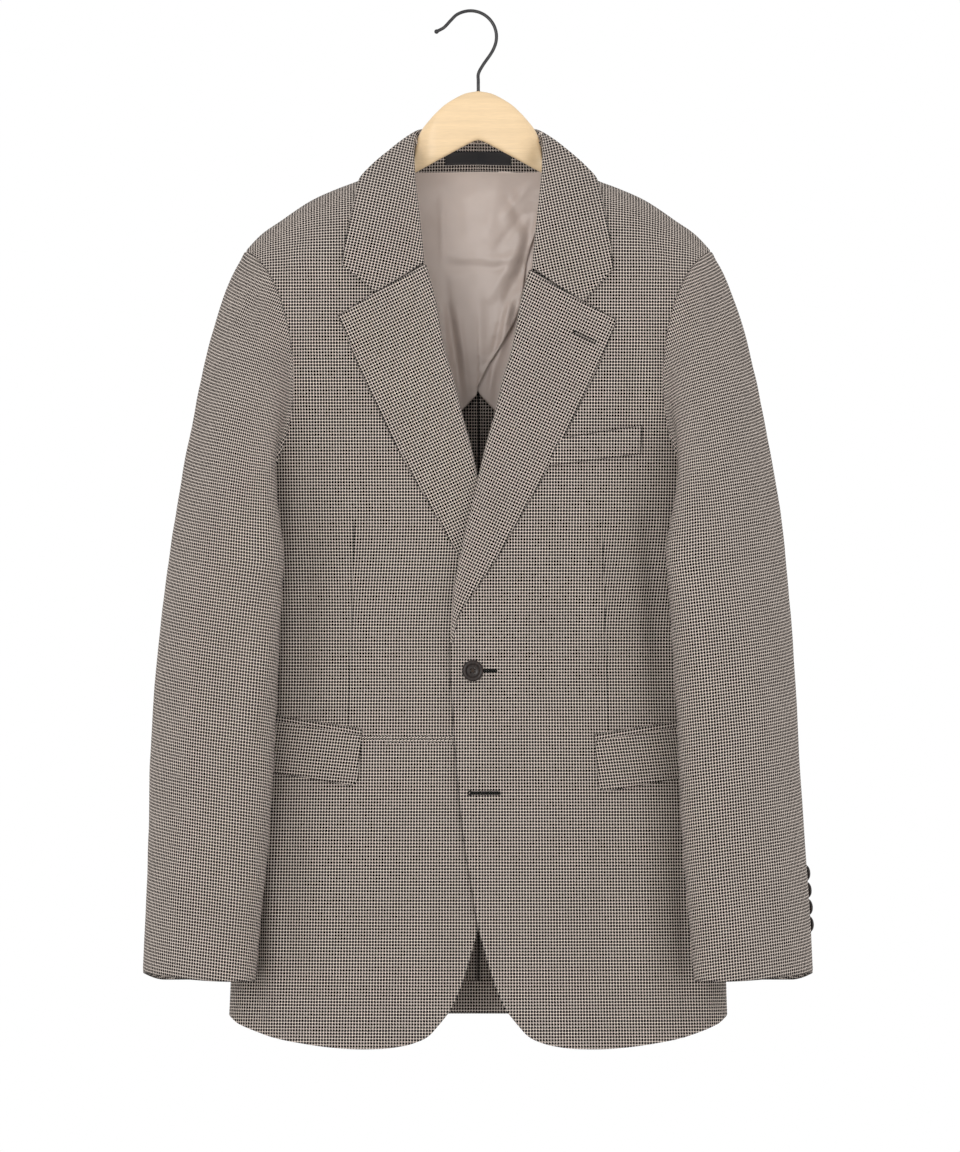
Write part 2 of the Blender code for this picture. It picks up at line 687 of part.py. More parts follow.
def make_sleeve_piece(name, side, first, suiting, collection):
    """Half of the sleeve, from its seam at `first` degrees of the armhole round to the other seam."""
    def place(c, r):
        row = r * SLEEVE_ROWS
        seam_gap = SLEEVE_SEAM_GAP + SLEEVE_TOP_GAP * math.exp(-row)
        degrees = mix(first + seam_gap, first + SEAM_STEPS * ARMHOLE_STEP - seam_gap, c)
        point = sleeve_point(side, degrees, row)
        normal = armhole_frame(side, degrees)[1] if row < 1e-6 else sleeve_normal(side, degrees, row)
        return point, normal

    cloth(name, side, place, SEAM_STEPS, SLEEVE_ROWS, CLOTH, suiting, collection)


def make_sleeves(side_name, suiting, collection):
    side = SIDES[side_name]
    seam = HIND_SEAM
    make_sleeve_piece(f"top_sleeve_{side_name}", side, seam, suiting, collection)
    make_sleeve_piece(f"under_sleeve_{side_name}", side, seam + 180, suiting, collection)


def make_sleeve_buttons(side_name, horn, collection):
    side = SIDES[side_name]
    degrees = HIND_SEAM + SLEEVE_BUTTON_DEGREES[side_name]
    for number, drop in enumerate(SLEEVE_BUTTONS, 1):
        share = (drop - SLEEVE_TOP_DROP) / (CUFF_DROP - SLEEVE_TOP_DROP)
        row = CAP_ROWS + share * (SLEEVE_ROWS - CAP_ROWS)
        normal = sleeve_normal(side, degrees, row)
        centre = sleeve_point(side, degrees, row) + normal * BUTTON_SEAT
        disc(f"sleeve_button_{side_name}_{number}", side, centre, normal,
             SLEEVE_BUTTON_RADIUS, SLEEVE_BUTTON_THICK, horn, collection)


# ---------------------------------------------------------------- lapels and collar
def make_lapel(side_name, suiting, collection):
    """The lapel lies on the front from its roll to its edge, and stands off in a soft roll."""
    side = SIDES[side_name]
    last_drop = LAPEL_END[side_name]

    def surface(c, r):
        roll_drop = mix(LAPEL_TOP, last_drop, r)
        edge_drop = mix(LAPEL_EDGE[0].drop, last_drop + 1, r)
        roll = Point(roll_drop, inner_out(roll_drop) - LAPEL_INSIDE)
        edge = Point(edge_drop, max(lapel_edge_out(edge_drop), inner_out(edge_drop) + LAPEL_LEAST))
        out = mix(roll.out, edge.out, c)
        drop = mix(roll.drop, edge.drop, c)
        notch_share = (NOTCH.out - roll.out) / (edge.out - roll.out)
        bend = NOTCH.drop + NOTCH_GAP - mix(LAPEL_TOP, LAPEL_EDGE[0].drop, notch_share)
        drop += bend * (1 - abs(c - notch_share) / max(notch_share, 1 - notch_share)) * (1 - r) ** 6
        standing = mix(LAPEL_ROLL, LAPEL_ROLL_LOW, ease(r / 0.75))
        flat = LAPEL_WALL + CLEAR
        height = flat + (standing - flat) * (1 - ease((c - ROLL_SHARE) / (1 - ROLL_SHARE)))
        if c < ROLL_SHARE:
            height = mix(LAPEL_WALL + COLLAR_EASE, height, math.sin(math.pi / 2 * c / ROLL_SHARE))
        return on_front(side, out, drop, height)

    inner = inner_out(LAPEL_TOP) - LAPEL_INSIDE
    notch_share = (NOTCH.out - inner) / (LAPEL_EDGE[0].out - inner)
    bunching = math.log(notch_share) / math.log(NOTCH_COLUMN / LAPEL_COLUMNS)

    def bunched(c, r):
        return surface(c ** bunching if c > 0 else 0.0, r)

    place = with_normals(bunched, FRONT)
    cloth(f"lapel_{side_name}", side, place, LAPEL_COLUMNS, 15, LAPEL_WALL, suiting, collection)


fold_out = smooth([Point(i, e.out) for i, e in enumerate(COLLAR_FOLD)], "out")
fold_depth = smooth([Point(i, e.depth) for i, e in enumerate(COLLAR_FOLD)], "out")
fold_drop = smooth([Point(i, e.drop) for i, e in enumerate(COLLAR_FOLD)], "out")
edge_out = smooth([Point(i, e.out) for i, e in enumerate(COLLAR_EDGE)], "out")
edge_drop = smooth([Point(i, e.drop) for i, e in enumerate(COLLAR_EDGE)], "out")


def fold_point(share):
    """A point of the collar's fold line, 0 at the middle of the back and 1 at the gorge."""
    place = share * (len(COLLAR_FOLD) - 1)
    return Vector((fold_out(place), fold_depth(place), fold_drop(place)))


def collar_rest(share):
    """Where the collar's outer edge lies on the cloth."""
    place = share * (len(COLLAR_EDGE) - 1)
    out = edge_out(place)
    drop = edge_drop(place)
    ridge_share = 4 / (len(COLLAR_EDGE) - 1)
    height = COLLAR_WALL + CLEAR + COLLAR_EASE
    height += COLLAR_RIDGE * math.exp(-((share - ridge_share) / RIDGE_SPREAD) ** 2)
    if share < ridge_share:
        return on_back(1, out, max(drop, shoulder_drop(out)), height)
    return on_front(1, out, max(drop, shoulder_drop(out)), height)


def collar_end(r):
    """The collar's front end: along the gorge to the notch and out to the corner."""
    notch_share = 4 / 6
    gorge = fold_point(1)
    if r <= notch_share:
        t = r / notch_share
        return Point(mix(gorge.z, NOTCH.drop - GORGE_GAP, t), mix(gorge.x, NOTCH.out, t))
    t = (r - notch_share) / (1 - notch_share)
    return Point(mix(NOTCH.drop - GORGE_GAP, COLLAR_CORNER.drop, t), mix(NOTCH.out, COLLAR_CORNER.out, t))


def collar_surface(c, r):
    """c runs from the right end round the neck to the left end, r from the fold to the outer edge."""
    share = abs(2 * c - 1)
    fold = fold_point(share)
    rest = collar_rest(share)
    high = Vector([mix(fold[i], rest[i], COLLAR_ROLL[i]) for i in range(3)])
    point = fold * (1 - r) ** 2 + high * 2 * r * (1 - r) + rest * r * r
    near_end = ease((share - ENDS_FROM) / (1 - ENDS_FROM))
    if near_end > 0:
        end = collar_end(r)
        straight = fold.lerp(rest, r)
        flat = Vector((point.x, 0, point.z + near_end ** 3 * (end.drop - straight.z)))
        flat.x += near_end ** 3 * (end.out - straight.x)
        height = mix(GORGE_HEIGHT, COLLAR_WALL + CLEAR + NOTCH_GAP, ease(r)) + 1.2 * math.sin(math.pi * r)
        lying = on_front(1, flat.x, flat.z, height)
        point = Vector((flat.x, mix(point.y, lying.y, near_end), flat.z))
    if 2 * c < 1:
        point.x = -point.x
    return point


def make_collar(suiting, collection):
    cloth("collar", 1, with_normals(collar_surface, BACK), 32, 6, COLLAR_WALL, suiting, collection)


def make_collar_stand(suiting, collection):
    """The band inside the neck, from just under the fold down to the neck seam."""
    def surface(c, r):
        share = abs(2 * c - 1) * STAND_REACH
        fold = fold_point(share)
        foot = mix(NECK_BACK_DROP - 2.6, fold.z + STAND_END, ease(share / STAND_REACH))
        point = Vector((fold.x * STAND_IN, fold.y - 0.3, mix(fold.z + STAND_DROP, foot, r)))
        if 2 * c < 1:
            point.x = -point.x
        return point

    cloth("collar_stand", 1, with_normals(surface, BACK), 22, 2, STAND_WALL, suiting, collection)


# ---------------------------------------------------------------- pockets
def flap_line(side_name, out):
    """Drop of the pocket opening at a distance from the centre line."""
    return FLAP_DROP[side_name] - FLAP_SLOPE * (out - FLAP_INNER_OUT)


def make_flap(side_name, suiting, collection):
    side = SIDES[side_name]

    def flap(c, r):
        out = mix(FLAP_INNER_OUT, FLAP_OUTER_OUT, c)
        lean = FLAP_LEAN * r * (1 - c)
        corner = FLAP_CORNER * r ** 3 * max(0.0, 1 - c / 0.12) ** 2
        return on_front(side, out + lean, flap_line(side_name, out) + FLAP_HEIGHT * r - corner,
                        POCKET_WALL + CLEAR + 0.8 * math.sin(math.pi * r))

    def jet(c, r):
        out = mix(FLAP_INNER_OUT - 1, FLAP_OUTER_OUT, c)
        return on_front(side, out, flap_line(side_name, out) - SEAM - JET_HEIGHT * (1 - r), JET_WALL + CLEAR)

    cloth(f"pocket_flap_{side_name}", side, with_normals(flap, FRONT), 9, 3, POCKET_WALL, suiting, collection)
    cloth(f"pocket_jet_{side_name}", side, with_normals(jet, FRONT), 9, 1, JET_WALL, suiting, collection)


def make_welt(suiting, collection):
    """The breast pocket's welt, whose inner end runs along the lapel's edge."""
    def surface(c, r):
        drop_outer = WELT_OUTER.drop + WELT_HEIGHT * r
        drop_inner = WELT_INNER.drop + WELT_HEIGHT * r
        inner = lapel_edge_out(drop_inner) + 1.2
        out = mix(inner, WELT_OUTER.out - 1.5 * r, c)
        return on_front(1, out, mix(drop_inner, drop_outer, c), POCKET_WALL + CLEAR)

    cloth("breast_welt", 1, with_normals(surface, FRONT), 6, 2, POCKET_WALL, suiting, collection)


def make_front_buttons(horn, collection):
    """The upper button is through its buttonhole, the lower one lies on the right front, under the left."""
    upper, facing = raised(1, *on_body(FRONT_BUTTON.out, FRONT_BUTTON.drop), BUTTON_SEAT)
    disc("front_button_upper", 1, upper, facing, FRONT_BUTTON_RADIUS, FRONT_BUTTON_THICK, horn, collection)
    lower, facing = raised(-1, *on_body(-LOWER_BUTTON.out, LOWER_BUTTON.drop), BUTTON_SEAT)
    disc("front_button_lower", -1, lower, facing, FRONT_BUTTON_RADIUS, LOWER_BUTTON_THICK, horn, collection)


# ---------------------------------------------------------------- inside
def make_inside_neck(suiting, black, collection):
    """The strip of suiting inside the back neck, and the label sewn on it."""
    def strip(half, top_drop, bottom_drop, height):
        def surface(c, r):
            out = mix(-half, half, c)
            top = max(top_drop, shoulder_drop(abs(out)) + FACING_BELOW_RIDGE)
            return on_back(1, out, mix(top, bottom_drop, r), -height)
        return with_normals(surface, FRONT)

    under = CLOTH + LINING_AIR + INSIDE_WALL
    facing = strip(FACING_HALF_WIDTH, FACING_TOP, LINING_TOP - SEAM, under)
    cloth("back_neck_facing", 1, facing, 12, 2, INSIDE_WALL, suiting, collection)
    label = strip(LABEL_HALF_WIDTH, LABEL_TOP, LABEL_BOTTOM, under + 2 * CLEAR + INSIDE_WALL)
    cloth("neck_label", 1, label, 10, 2, INSIDE_WALL, black, collection)


def make_lining(side_name, satin, collection):
    side = SIDES[side_name]

    def surface(c, r):
        out = mix(SEAM / 2, LINING_HALF_WIDTH, c)
        top = max(LINING_TOP, shoulder_drop(out) + LINING_BELOW_RIDGE)
        air = mix(LINING_AIR, LINING_AIR_LOW, ease(r * 4))
        return on_back(side, out, mix(top, lining_edge(out), r), -(CLOTH + air + LINING_WALL))

    place = with_normals(surface, FRONT)
    cloth(f"back_lining_{side_name}", side, place, 8, 9, LINING_WALL, satin, collection)


def make_turn_up(suiting, collection):
    def surface(c, r):
        out = mix(-TURN_UP_HALF_WIDTH, TURN_UP_HALF_WIDTH, c)
        return on_back(1, out, mix(HEM_BACK - TURN_UP, HEM_BACK - 1, r), -(CLOTH + CLEAR + INSIDE_WALL))

    cloth("back_hem_turn_up", 1, with_normals(surface, FRONT), 14, 1, INSIDE_WALL, suiting, collection)


# ---------------------------------------------------------------- hanger
def hanger_top(out):
    """Drop of the wood's upper edge."""
    arm = shoulder_drop(out) + CLOTH + ARM_GAP
    if out < DOME_RADIUS * DOME_EDGE:
        return min(DOME_CENTRE_DROP - math.sqrt(DOME_RADIUS ** 2 - out ** 2), arm)
    return arm


def make_hanger(wood, collection):
    """The shaped wood: a dome in the middle, arms under the shoulder seams, cut out below in a vee."""
    stations = [DOME_RADIUS * math.sin(math.radians(degrees)) for degrees in DOME_DEGREES]
    stations += [*ARM_STATIONS, ARM_OUT]
    stations = [-out for out in reversed(stations[1:])] + stations
    around = 12
    bm = bmesh.new()
    bmesh.ops.create_grid(bm, x_segments=around, y_segments=len(stations) - 1, size=0.5)
    for vert in bm.verts:
        out = stations[round((vert.co.y + 0.5) * (len(stations) - 1))]
        angle = 2 * math.pi * (vert.co.x + 0.5)
        top = hanger_top(abs(out))
        bottom = VEE_DROP + VEE_SLOPE * abs(out)
        share = abs(out) / ARM_OUT
        tip = 1 - TIP_TAPER * ease((share - TIP_FROM) / (1 - TIP_FROM))
        half_high = (bottom - top) / 2 * tip
        waist = 1 - NECK_WAIST * math.exp(-((abs(out) - NECK_WAIST_OUT) / NECK_WAIST_SPREAD) ** 2)
        half_thick = HANGER_HALF_THICK * waist * tip
        flat = mix(DOME_FLATNESS, ARM_FLATNESS, ease((abs(out) - 38) / 12))
        high = math.copysign(abs(math.cos(angle)) ** flat, math.cos(angle))
        through = math.copysign(abs(math.sin(angle)) ** flat, math.sin(angle))
        depth = ridge_depth(abs(out)) * ease((abs(out) - 45) / 15)
        level = (top + bottom) / 2 - half_high * high
        vert.co = to_world(1, Vector((out, depth + half_thick * through, level)))
    bmesh.ops.remove_doubles(bm, verts=bm.verts[:], dist=0.00001)
    bmesh.ops.holes_fill(bm, edges=[edge for edge in bm.edges if edge.is_boundary], sides=0)
    return make_object("hanger", bm, wood, collection)


def make_hook(metal, collection):
    """The wire hook: a straight stem, a round crown and a tip that opens outwards."""
    route = list(HOOK_STEM)
    for degrees in range(-20, 125, 16):
        angle = math.radians(degrees)
        level = HOOK_CENTRE_DROP - HOOK_BEND * math.sin(angle)
        route.append(Point(level, HOOK_BEND * math.cos(angle)))
    route += HOOK_TIP
    read_out = smooth([Point(i, place.out) for i, place in enumerate(route)], "out")
    read_drop = smooth([Point(i, place.drop) for i, place in enumerate(route)], "out")
    curve = bpy.data.curves.new("hook", "CURVE")
    curve.dimensions = "3D"
    curve.bevel_depth = HOOK_RADIUS * MM
    curve.bevel_resolution = 2
    curve.use_fill_caps = True
    spline = curve.splines.new("POLY")
    spline.points.add(HOOK_POINTS - 1)
    for number, point in enumerate(spline.points):
        place = number / (HOOK_POINTS - 1) * (len(route) - 1)
        point.co = (read_out(place) * MM, 0.0, -read_drop(place) * MM, 1.0)
    spline.points[-1].radius = HOOK_END
    curve.materials.append(metal)
    collection.objects.link(bpy.data.objects.new("hook", curve))


# ---------------------------------------------------------------- materials
def make_material(name, colour, roughness, metallic=0.0):
    material = bpy.data.materials.new(name)
    material.use_nodes = True
    shader = material.node_tree.nodes["Principled BSDF"]
    shader.inputs["Base Color"].default_value = (*colour, 1.0)
    shader.inputs["Roughness"].default_value = roughness
    shader.inputs["Metallic"].default_value = metallic
    return material


def main():
    for item in list(bpy.data.objects):
        bpy.data.objects.remove(item)
    collection = bpy.data.collections.new("houndstooth_jacket")
    bpy.context.scene.collection.children.link(collection)
    suiting = make_material("suiting", (0.23, 0.19, 0.17), 0.9)
    satin = make_material("satin", (0.40, 0.34, 0.30), 0.35)
    black = make_material("label", (0.01, 0.01, 0.012), 0.7)
    horn = make_material("horn", (0.05, 0.03, 0.02), 0.3)
    maple = make_material("maple", (0.80, 0.60, 0.36), 0.45)
    metal = make_material("dark_metal", (0.05, 0.05, 0.05), 0.3, 1.0)
    for side_name in SIDES:
        make_front(side_name, suiting, collection)
        make_side(side_name, suiting, collection)
        make_back(side_name, suiting, collection)
        make_sleeves(side_name, suiting, collection)
        make_sleeve_buttons(side_name, horn, collection)
        make_lapel(side_name, suiting, collection)
        make_flap(side_name, suiting, collection)
        make_lining(side_name, satin, collection)
    make_collar(suiting, collection)
    make_collar_stand(suiting, collection)
    make_welt(suiting, collection)
    make_front_buttons(horn, collection)
    make_inside_neck(suiting, black, collection)
    make_turn_up(suiting, collection)
    make_hanger(maple, collection)
    make_hook(metal, collection)


main()
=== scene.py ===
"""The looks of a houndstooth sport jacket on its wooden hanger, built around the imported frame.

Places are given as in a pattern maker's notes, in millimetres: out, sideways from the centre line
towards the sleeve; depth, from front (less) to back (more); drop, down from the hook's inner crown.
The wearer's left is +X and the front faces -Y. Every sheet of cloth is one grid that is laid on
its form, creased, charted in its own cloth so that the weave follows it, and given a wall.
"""
import math
from collections import namedtuple
from functools import lru_cache

import bmesh
import bpy
from bpy.props import FloatProperty, FloatVectorProperty, PointerProperty
from mathutils import Matrix, Vector, noise


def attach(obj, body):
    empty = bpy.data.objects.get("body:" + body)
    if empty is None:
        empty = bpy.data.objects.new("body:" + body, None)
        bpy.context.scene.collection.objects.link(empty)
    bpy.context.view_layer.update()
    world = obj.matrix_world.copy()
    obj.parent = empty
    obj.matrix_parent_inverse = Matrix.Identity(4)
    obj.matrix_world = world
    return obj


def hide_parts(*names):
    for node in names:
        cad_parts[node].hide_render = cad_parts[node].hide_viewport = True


bl_info = {
    "name": "Houndstooth Sport Jacket",
    "version": (1, 0, 0),
    "blender": (4, 5, 0),
    "location": "3D View > Sidebar > Jacket",
    "description": "Tailored wool jacket on a wooden hanger, with its cloth, buttons and stage",
    "category": "Object",
}

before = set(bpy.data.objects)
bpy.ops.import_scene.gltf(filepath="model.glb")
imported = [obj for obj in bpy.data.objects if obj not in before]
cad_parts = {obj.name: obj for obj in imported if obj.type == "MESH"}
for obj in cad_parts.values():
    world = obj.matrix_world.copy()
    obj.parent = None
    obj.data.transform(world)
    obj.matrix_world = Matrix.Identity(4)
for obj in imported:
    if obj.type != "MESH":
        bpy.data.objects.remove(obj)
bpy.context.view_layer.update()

MM = 0.001
SIDES = {"left": 1, "right": -1}
CENTRE_X = 7.0
CLOTH = 2.0             # the suiting with its canvas


def table(kind, *rows):
    return [kind(*row) for row in rows]


# ---------------------------------------------------------------- the form, as the solids have it
Section = namedtuple("Section", "drop half_width front back")
BODY = table(
    Section, (100, 221.0, -34, 52), (215, 221.0, -37, 59), (426, 218.3, -38, 62), (565, 214.5, -36, 56),
    (720, 219.0, -38, 58), (871, 223.5, -40, 61), (935, 226.0, -40, 62),
)
SIDE_DEPTH = 18.0
ROUNDNESS = 2.3
ROOF = 65.0             # radius of the rounding from the shoulder seam to the chest and the back
ROOF_CLOTH = ROOF * (math.pi / 2 - 1)           # so much more cloth than drop lies over it

Point = namedtuple("Point", "drop out")
SHOULDER = table(
    Point, (104, 0), (129.5, 58), (143.5, 88), (152, 109), (159.5, 129), (169, 150), (187.5, 178), (201, 197),
    (217, 212),
)
RIDGE_NECK = 2.0
RIDGE_TIP = 16.0
NECK_OUT = 62.0
NECK_BACK_DROP = 126.0

ARMHOLE_OUT = 213.75
ARMHOLE_DROP = 320.7
ARMHOLE_HALF_HEIGHT = 105.3
ARMHOLE_LEAN = 4.5
ARMHOLE_FRONT_CUT = 46.8
ARMHOLE_BACK_CUT = 38.0
ARMHOLE_SAG = 19.8
FRONT_DEGREES = 135     # where the armhole passes from the front to the side panel
SIDE_DEGREES = 210      # and on to the back

INNER_LINE = table(
    Point, (131, 62), (149, 60), (169, 57.5), (197, 54), (225, 49.5), (258, 41), (304, 32.5), (331, 24.5),
    (360, 17.5), (391, 9), (430, 0), (463, -8), (503, -16.5), (534, -21.5), (571, -25.5), (641, -22.5),
    (696, -18.5), (733, -15), (763, -11), (792, -6), (821, -1.5), (839, 3.5), (863, 10.5), (884, 18),
    (899, 25.5), (910, 34),
)
LAPEL_TOP = {"left": 233.0, "right": 228.0}
LAPEL_TIP_DROP = {"left": 277.5, "right": 274.5}
BREAK = 571.0
LAPEL_EDGE = table(
    Point, (274, 126), (297, 117.5), (329, 105), (361, 89), (398, 70.5), (421, 57.5), (451, 40), (475, 26.5),
    (499, 12.5), (520, -2), (543, -16.5), (571, -22.5),
)
NOTCH = {"left": Point(262.0, 97.5), "right": Point(253.5, 95.0)}
COLLAR_CORNER = {"left": Point(232, 121.5), "right": Point(227.5, 123)}
HEM = table(
    Point, (910, 34), (921, 44), (928, 58), (931.5, 73), (933.5, 100), (932.5, 128), (928.5, 159), (924, 182),
    (917, 203), (908, 224),
)
HEM_BACK = 904.0
SIDE_SEAM_HEM = 0.292
BACK_SEAM_HEM = {"left": 0.468, "right": 0.515}

Lift = namedtuple("Lift", "drop height")
OVERLAP = table(
    Lift, (225, 0), (330, 0.5), (400, 5.5), (450, 7.2), (520, 7.0), (571, 4.6), (600, 3.6), (650, 3.6),
    (703, 5.6), (750, 3.4), (850, 3.0), (912, 2.6),
)
OVERLAP_FADE = 110.0

Fold = namedtuple("Fold", "face side out lean top bottom width height")
FOLDS = table(
    Fold, ("front", 1, 96, 0.05, 430, 640, 15, 1.6), ("front", 1, 152, 0.10, 420, 760, 15, -2.6),
    ("front", -1, 62, -0.02, 640, 900, 20, 1.6), ("front", -1, 150, 0.08, 430, 720, 16, -2.4),
    ("front", 1, 60, 0.08, 690, 905, 20, 1.5), ("back", 1, 120, 0.16, 300, 640, 20, -3.2),
    ("back", -1, 128, 0.14, 330, 700, 22, -3.4), ("back", 1, 60, 0.04, 560, 880, 24, 2.2),
    ("back", -1, 70, 0.06, 540, 860, 22, 2.0),
)

Sleeve = namedtuple("Sleeve", "drop right_out right_in left_out left_in turn thick depth")
SLEEVES = table(
    Sleeve, (493, 278.5, 174.5, 277.0, 168.5, 35, 68, -38), (565, 287.5, 178.5, 283.0, 174.0, 35, 74, -37),
    (673, 295.5, 183.5, 289.5, 179.5, 34, 77, -34), (745, 297.0, 188.0, 294.0, 183.0, 32, 76, -32),
    (799, 299.0, 193.5, 298.0, 187.5, 31, 73, -31), (872, 302.5, 200.0, 302.0, 194.0, 29, 70, -28),
)
SLEEVE_TOP_DROP = 493.0
CUFF_DROP = 872.0
CUFF_RISE = 7.0
SLEEVE_TWIST = 55.0
CAP_SHARE = 8 / 19      # share of a sleeve's rows above the underarm
HIND_SEAM = -45
CAP_REACH = 0.42
SET_IN = 0.4            # how far the sleeve reaches under the armhole's edge

Edge = namedtuple("Edge", "out depth drop")
COLLAR_FOLD = table(
    Edge, (0, 42, 103.5), (25, 40, 103), (42, 31.5, 103), (51, 20, 104), (55.5, 8, 107), (57.5, -6, 112.5),
    (58, -17, 121), (58, -29, 134), (57, -37, 150), (54, -41.5, 171), (50.5, -44, 198), (48.5, -45, 226),
)
COLLAR_EDGE = table(
    Edge, (0, 1, 152), (36, 1, 154), (70, 1, 157), (95, 1, 155.5), (103, 0.35, 151.5), (108, -1, 158),
    (112.5, -1, 175), (116, -1, 190), (119.5, -1, 208), (122.5, -1, 228),
)
COLLAR_WALL = 2.2
CLEAR = 0.5
LAPEL_ROLL = 6.0
LAPEL_ROLL_LOW = 3.6

FLAP_HEIGHT = 47.0
FLAP_INNER_OUT = 104.5
FLAP_OUTER_OUT = 196.0
FLAP_SLOPE = 0.16
FLAP_DROP = {"left": 655.5, "right": 650.5}
FLAP_CORNERS = (9.0, 5.0)                       # inner and outer
FLAP_GRAIN = -4.5
JET_HEIGHT = 5.5
JET_FOLD = 0.75         # radius of the fold along its lower edge
WELT_HEIGHT = 26.0
WELT_OUTER = Point(372, 147.5)
WELT_INNER = Point(382.5, 79.5)

FRONT_BUTTON = Point(593, -5)
LOWER_BUTTON = Point(703, -5)
SLEEVE_BUTTONS = (779, 794.6, 810.2, 825.8)
SLEEVE_BUTTON_DEGREES = {"left": 9, "right": -20}     # forward from the sleeve's back seam

Rise = namedtuple("Rise", "out drop")
DOME = table(
    Rise, (0, 70.8), (13, 73.4), (21.6, 77.7), (27.5, 81.3), (32.4, 84.9), (36, 88.5), (39.8, 92.1),
    (43, 95.7), (46, 99.3), (49, 102.9), (51.3, 106.5), (53.6, 111), (55.4, 116), (57, 122), (57.8, 129.4),
)
VEE_DROP = 115.0
VEE_SLOPE = 0.546
ARM_OUT = 184.0
ARM_GAP = 0.8
HANGER_HALF_THICK = 6.5
NECK_WAIST = 0.32
NECK_WAIST_OUT = 51.0
HOOK_RADIUS = 1.5
HOOK_BEND = 23.4
HOOK_CENTRE_DROP = 21.9


# ---------------------------------------------------------------- curves and tables
def hermite(start, start_slope, end, end_slope, t):
    return (start * (1 + 2 * t) * (1 - t) ** 2 + start_slope * t * (1 - t) ** 2
            + end * t * t * (3 - 2 * t) - end_slope * t * t * (1 - t))


def mix(a, b, t):
    return a + (b - a) * t


def clamped(t):
    return min(max(t, 0.0), 1.0)


def ease(t):
    t = clamped(t)
    return t * t * (3 - 2 * t)


def smooth(rows, value, key="drop"):
    """A smooth function through one column of a table, flat beyond its ends."""
    xs = [getattr(row, key) for row in rows]
    ys = [getattr(row, value) for row in rows]
    if xs[0] > xs[-1]:
        xs.reverse()
        ys.reverse()
    chords = [(ys[i + 1] - ys[i]) / (xs[i + 1] - xs[i]) for i in range(len(xs) - 1)]
    slopes = [chords[0]]
    for i in range(1, len(chords)):
        before = xs[i] - xs[i - 1]
        after = xs[i + 1] - xs[i]
        slopes.append((chords[i - 1] * after + chords[i] * before) / (before + after))
    slopes.append(chords[-1])

    def read(x):
        x = min(max(x, xs[0]), xs[-1])
        i = 0
        while i < len(xs) - 2 and x > xs[i + 1]:
            i += 1
        length = xs[i + 1] - xs[i]
        return hermite(ys[i], slopes[i] * length, ys[i + 1], slopes[i + 1] * length, (x - xs[i]) / length)

    return read


half_width = smooth(BODY, "half_width")
front_depth = smooth(BODY, "front")
back_depth = smooth(BODY, "back")
shoulder_drop = smooth(SHOULDER, "drop", "out")
inner_out = smooth(INNER_LINE, "out")
lapel_edge_out = smooth(LAPEL_EDGE, "out")
hem_drop_at = smooth(HEM, "drop", "out")
overlap_height = smooth(OVERLAP, "height")
SLEEVE_READ = {column: smooth(SLEEVES, column) for column in Sleeve._fields[1:]}


# ---------------------------------------------------------------- the body's outer face
def ridge_depth(out):
    return mix(RIDGE_NECK, RIDGE_TIP, (out / ARMHOLE_OUT) ** 2)


def roof(down):
    """How far a place `down` the cloth from the shoulder seam has dropped, and how far it has come out."""
    if down < ROOF * math.pi / 2:
        return ROOF * (1 - math.cos(down / ROOF)), math.sin(down / ROOF)
    return down - ROOF_CLOTH, 1.0


def fold_height(side, back, out, drop):
    height = 0.0
    for fold in FOLDS:
        if (fold.face == "back") != back or fold.side != side or not fold.top < drop < fold.bottom:
            continue
        along = (drop - fold.top) / (fold.bottom - fold.top)
        away = (out - fold.out - fold.lean * (drop - fold.top)) / fold.width
        height += fold.height * math.sin(math.pi * along) ** 0.8 * math.exp(-away * away)
    return height


def body_point(side, turn, down):
    """turn runs from 0 at the centre front over 0.5 at the side edge to 1 at the centre back."""
    angle = math.pi * turn
    reach = math.copysign(abs(math.sin(angle)) ** (2 / ROUNDNESS), math.sin(angle))
    bulge = abs(math.cos(angle)) ** (2 / ROUNDNESS)
    fallen, come_out = roof(down)
    drop = ARMHOLE_DROP
    for _ in range(4):
        out = half_width(drop) * reach
        drop = shoulder_drop(abs(out)) + fallen
    back = turn > 0.5
    face = back_depth(drop) if back else front_depth(drop)
    depth = mix(ridge_depth(out), mix(SIDE_DEPTH, face, bulge), come_out)
    puff = fold_height(side, back, out, drop) * come_out
    return Vector((out, depth + (puff if back else -puff), drop))


def body_normal(side, turn, down):
    step = 0.002
    along = body_point(side, turn + step, down) - body_point(side, turn - step, down)
    fall = body_point(side, turn, down + 1.0) - body_point(side, turn, max(down - 1.0, 0.0))
    return along.cross(fall).normalized()


def on_body(out, drop, back=False):
    """The (turn, down) of a place seen from the front or from the back."""
    below = max(drop - shoulder_drop(abs(out)), 0.0)
    down = ROOF * math.acos(1 - below / ROOF) if below < ROOF else below + ROOF_CLOTH
    reach = min(abs(out) / half_width(drop), 1.0)
    turn = math.copysign(math.asin(reach ** (ROUNDNESS / 2)) / math.pi, out)
    return (1 - turn if back else turn), down


def lift(side, out, drop):
    """How far the lapping front stands off the body near its edge."""
    if side < 0:
        return 0.0
    return overlap_height(drop) * (1 - ease((out - inner_out(drop)) / OVERLAP_FADE))


def raised(side, turn, down, height):
    """A point that lies `height` outside the front or back panel there."""
    point = body_point(side, turn, down)
    if turn < 0.5:
        height += lift(side, point.x, point.z)
    return point + body_normal(side, turn, down) * height if height else point


def on_front(side, out, drop, height):
    return raised(side, *on_body(out, drop), height)


def on_back(side, out, drop, height):
    return raised(side, *on_body(out, drop, True), height)


GIRTH_STEPS = 200
GIRTH_DOWN = 450.0      # the way round is measured so far down the cloth


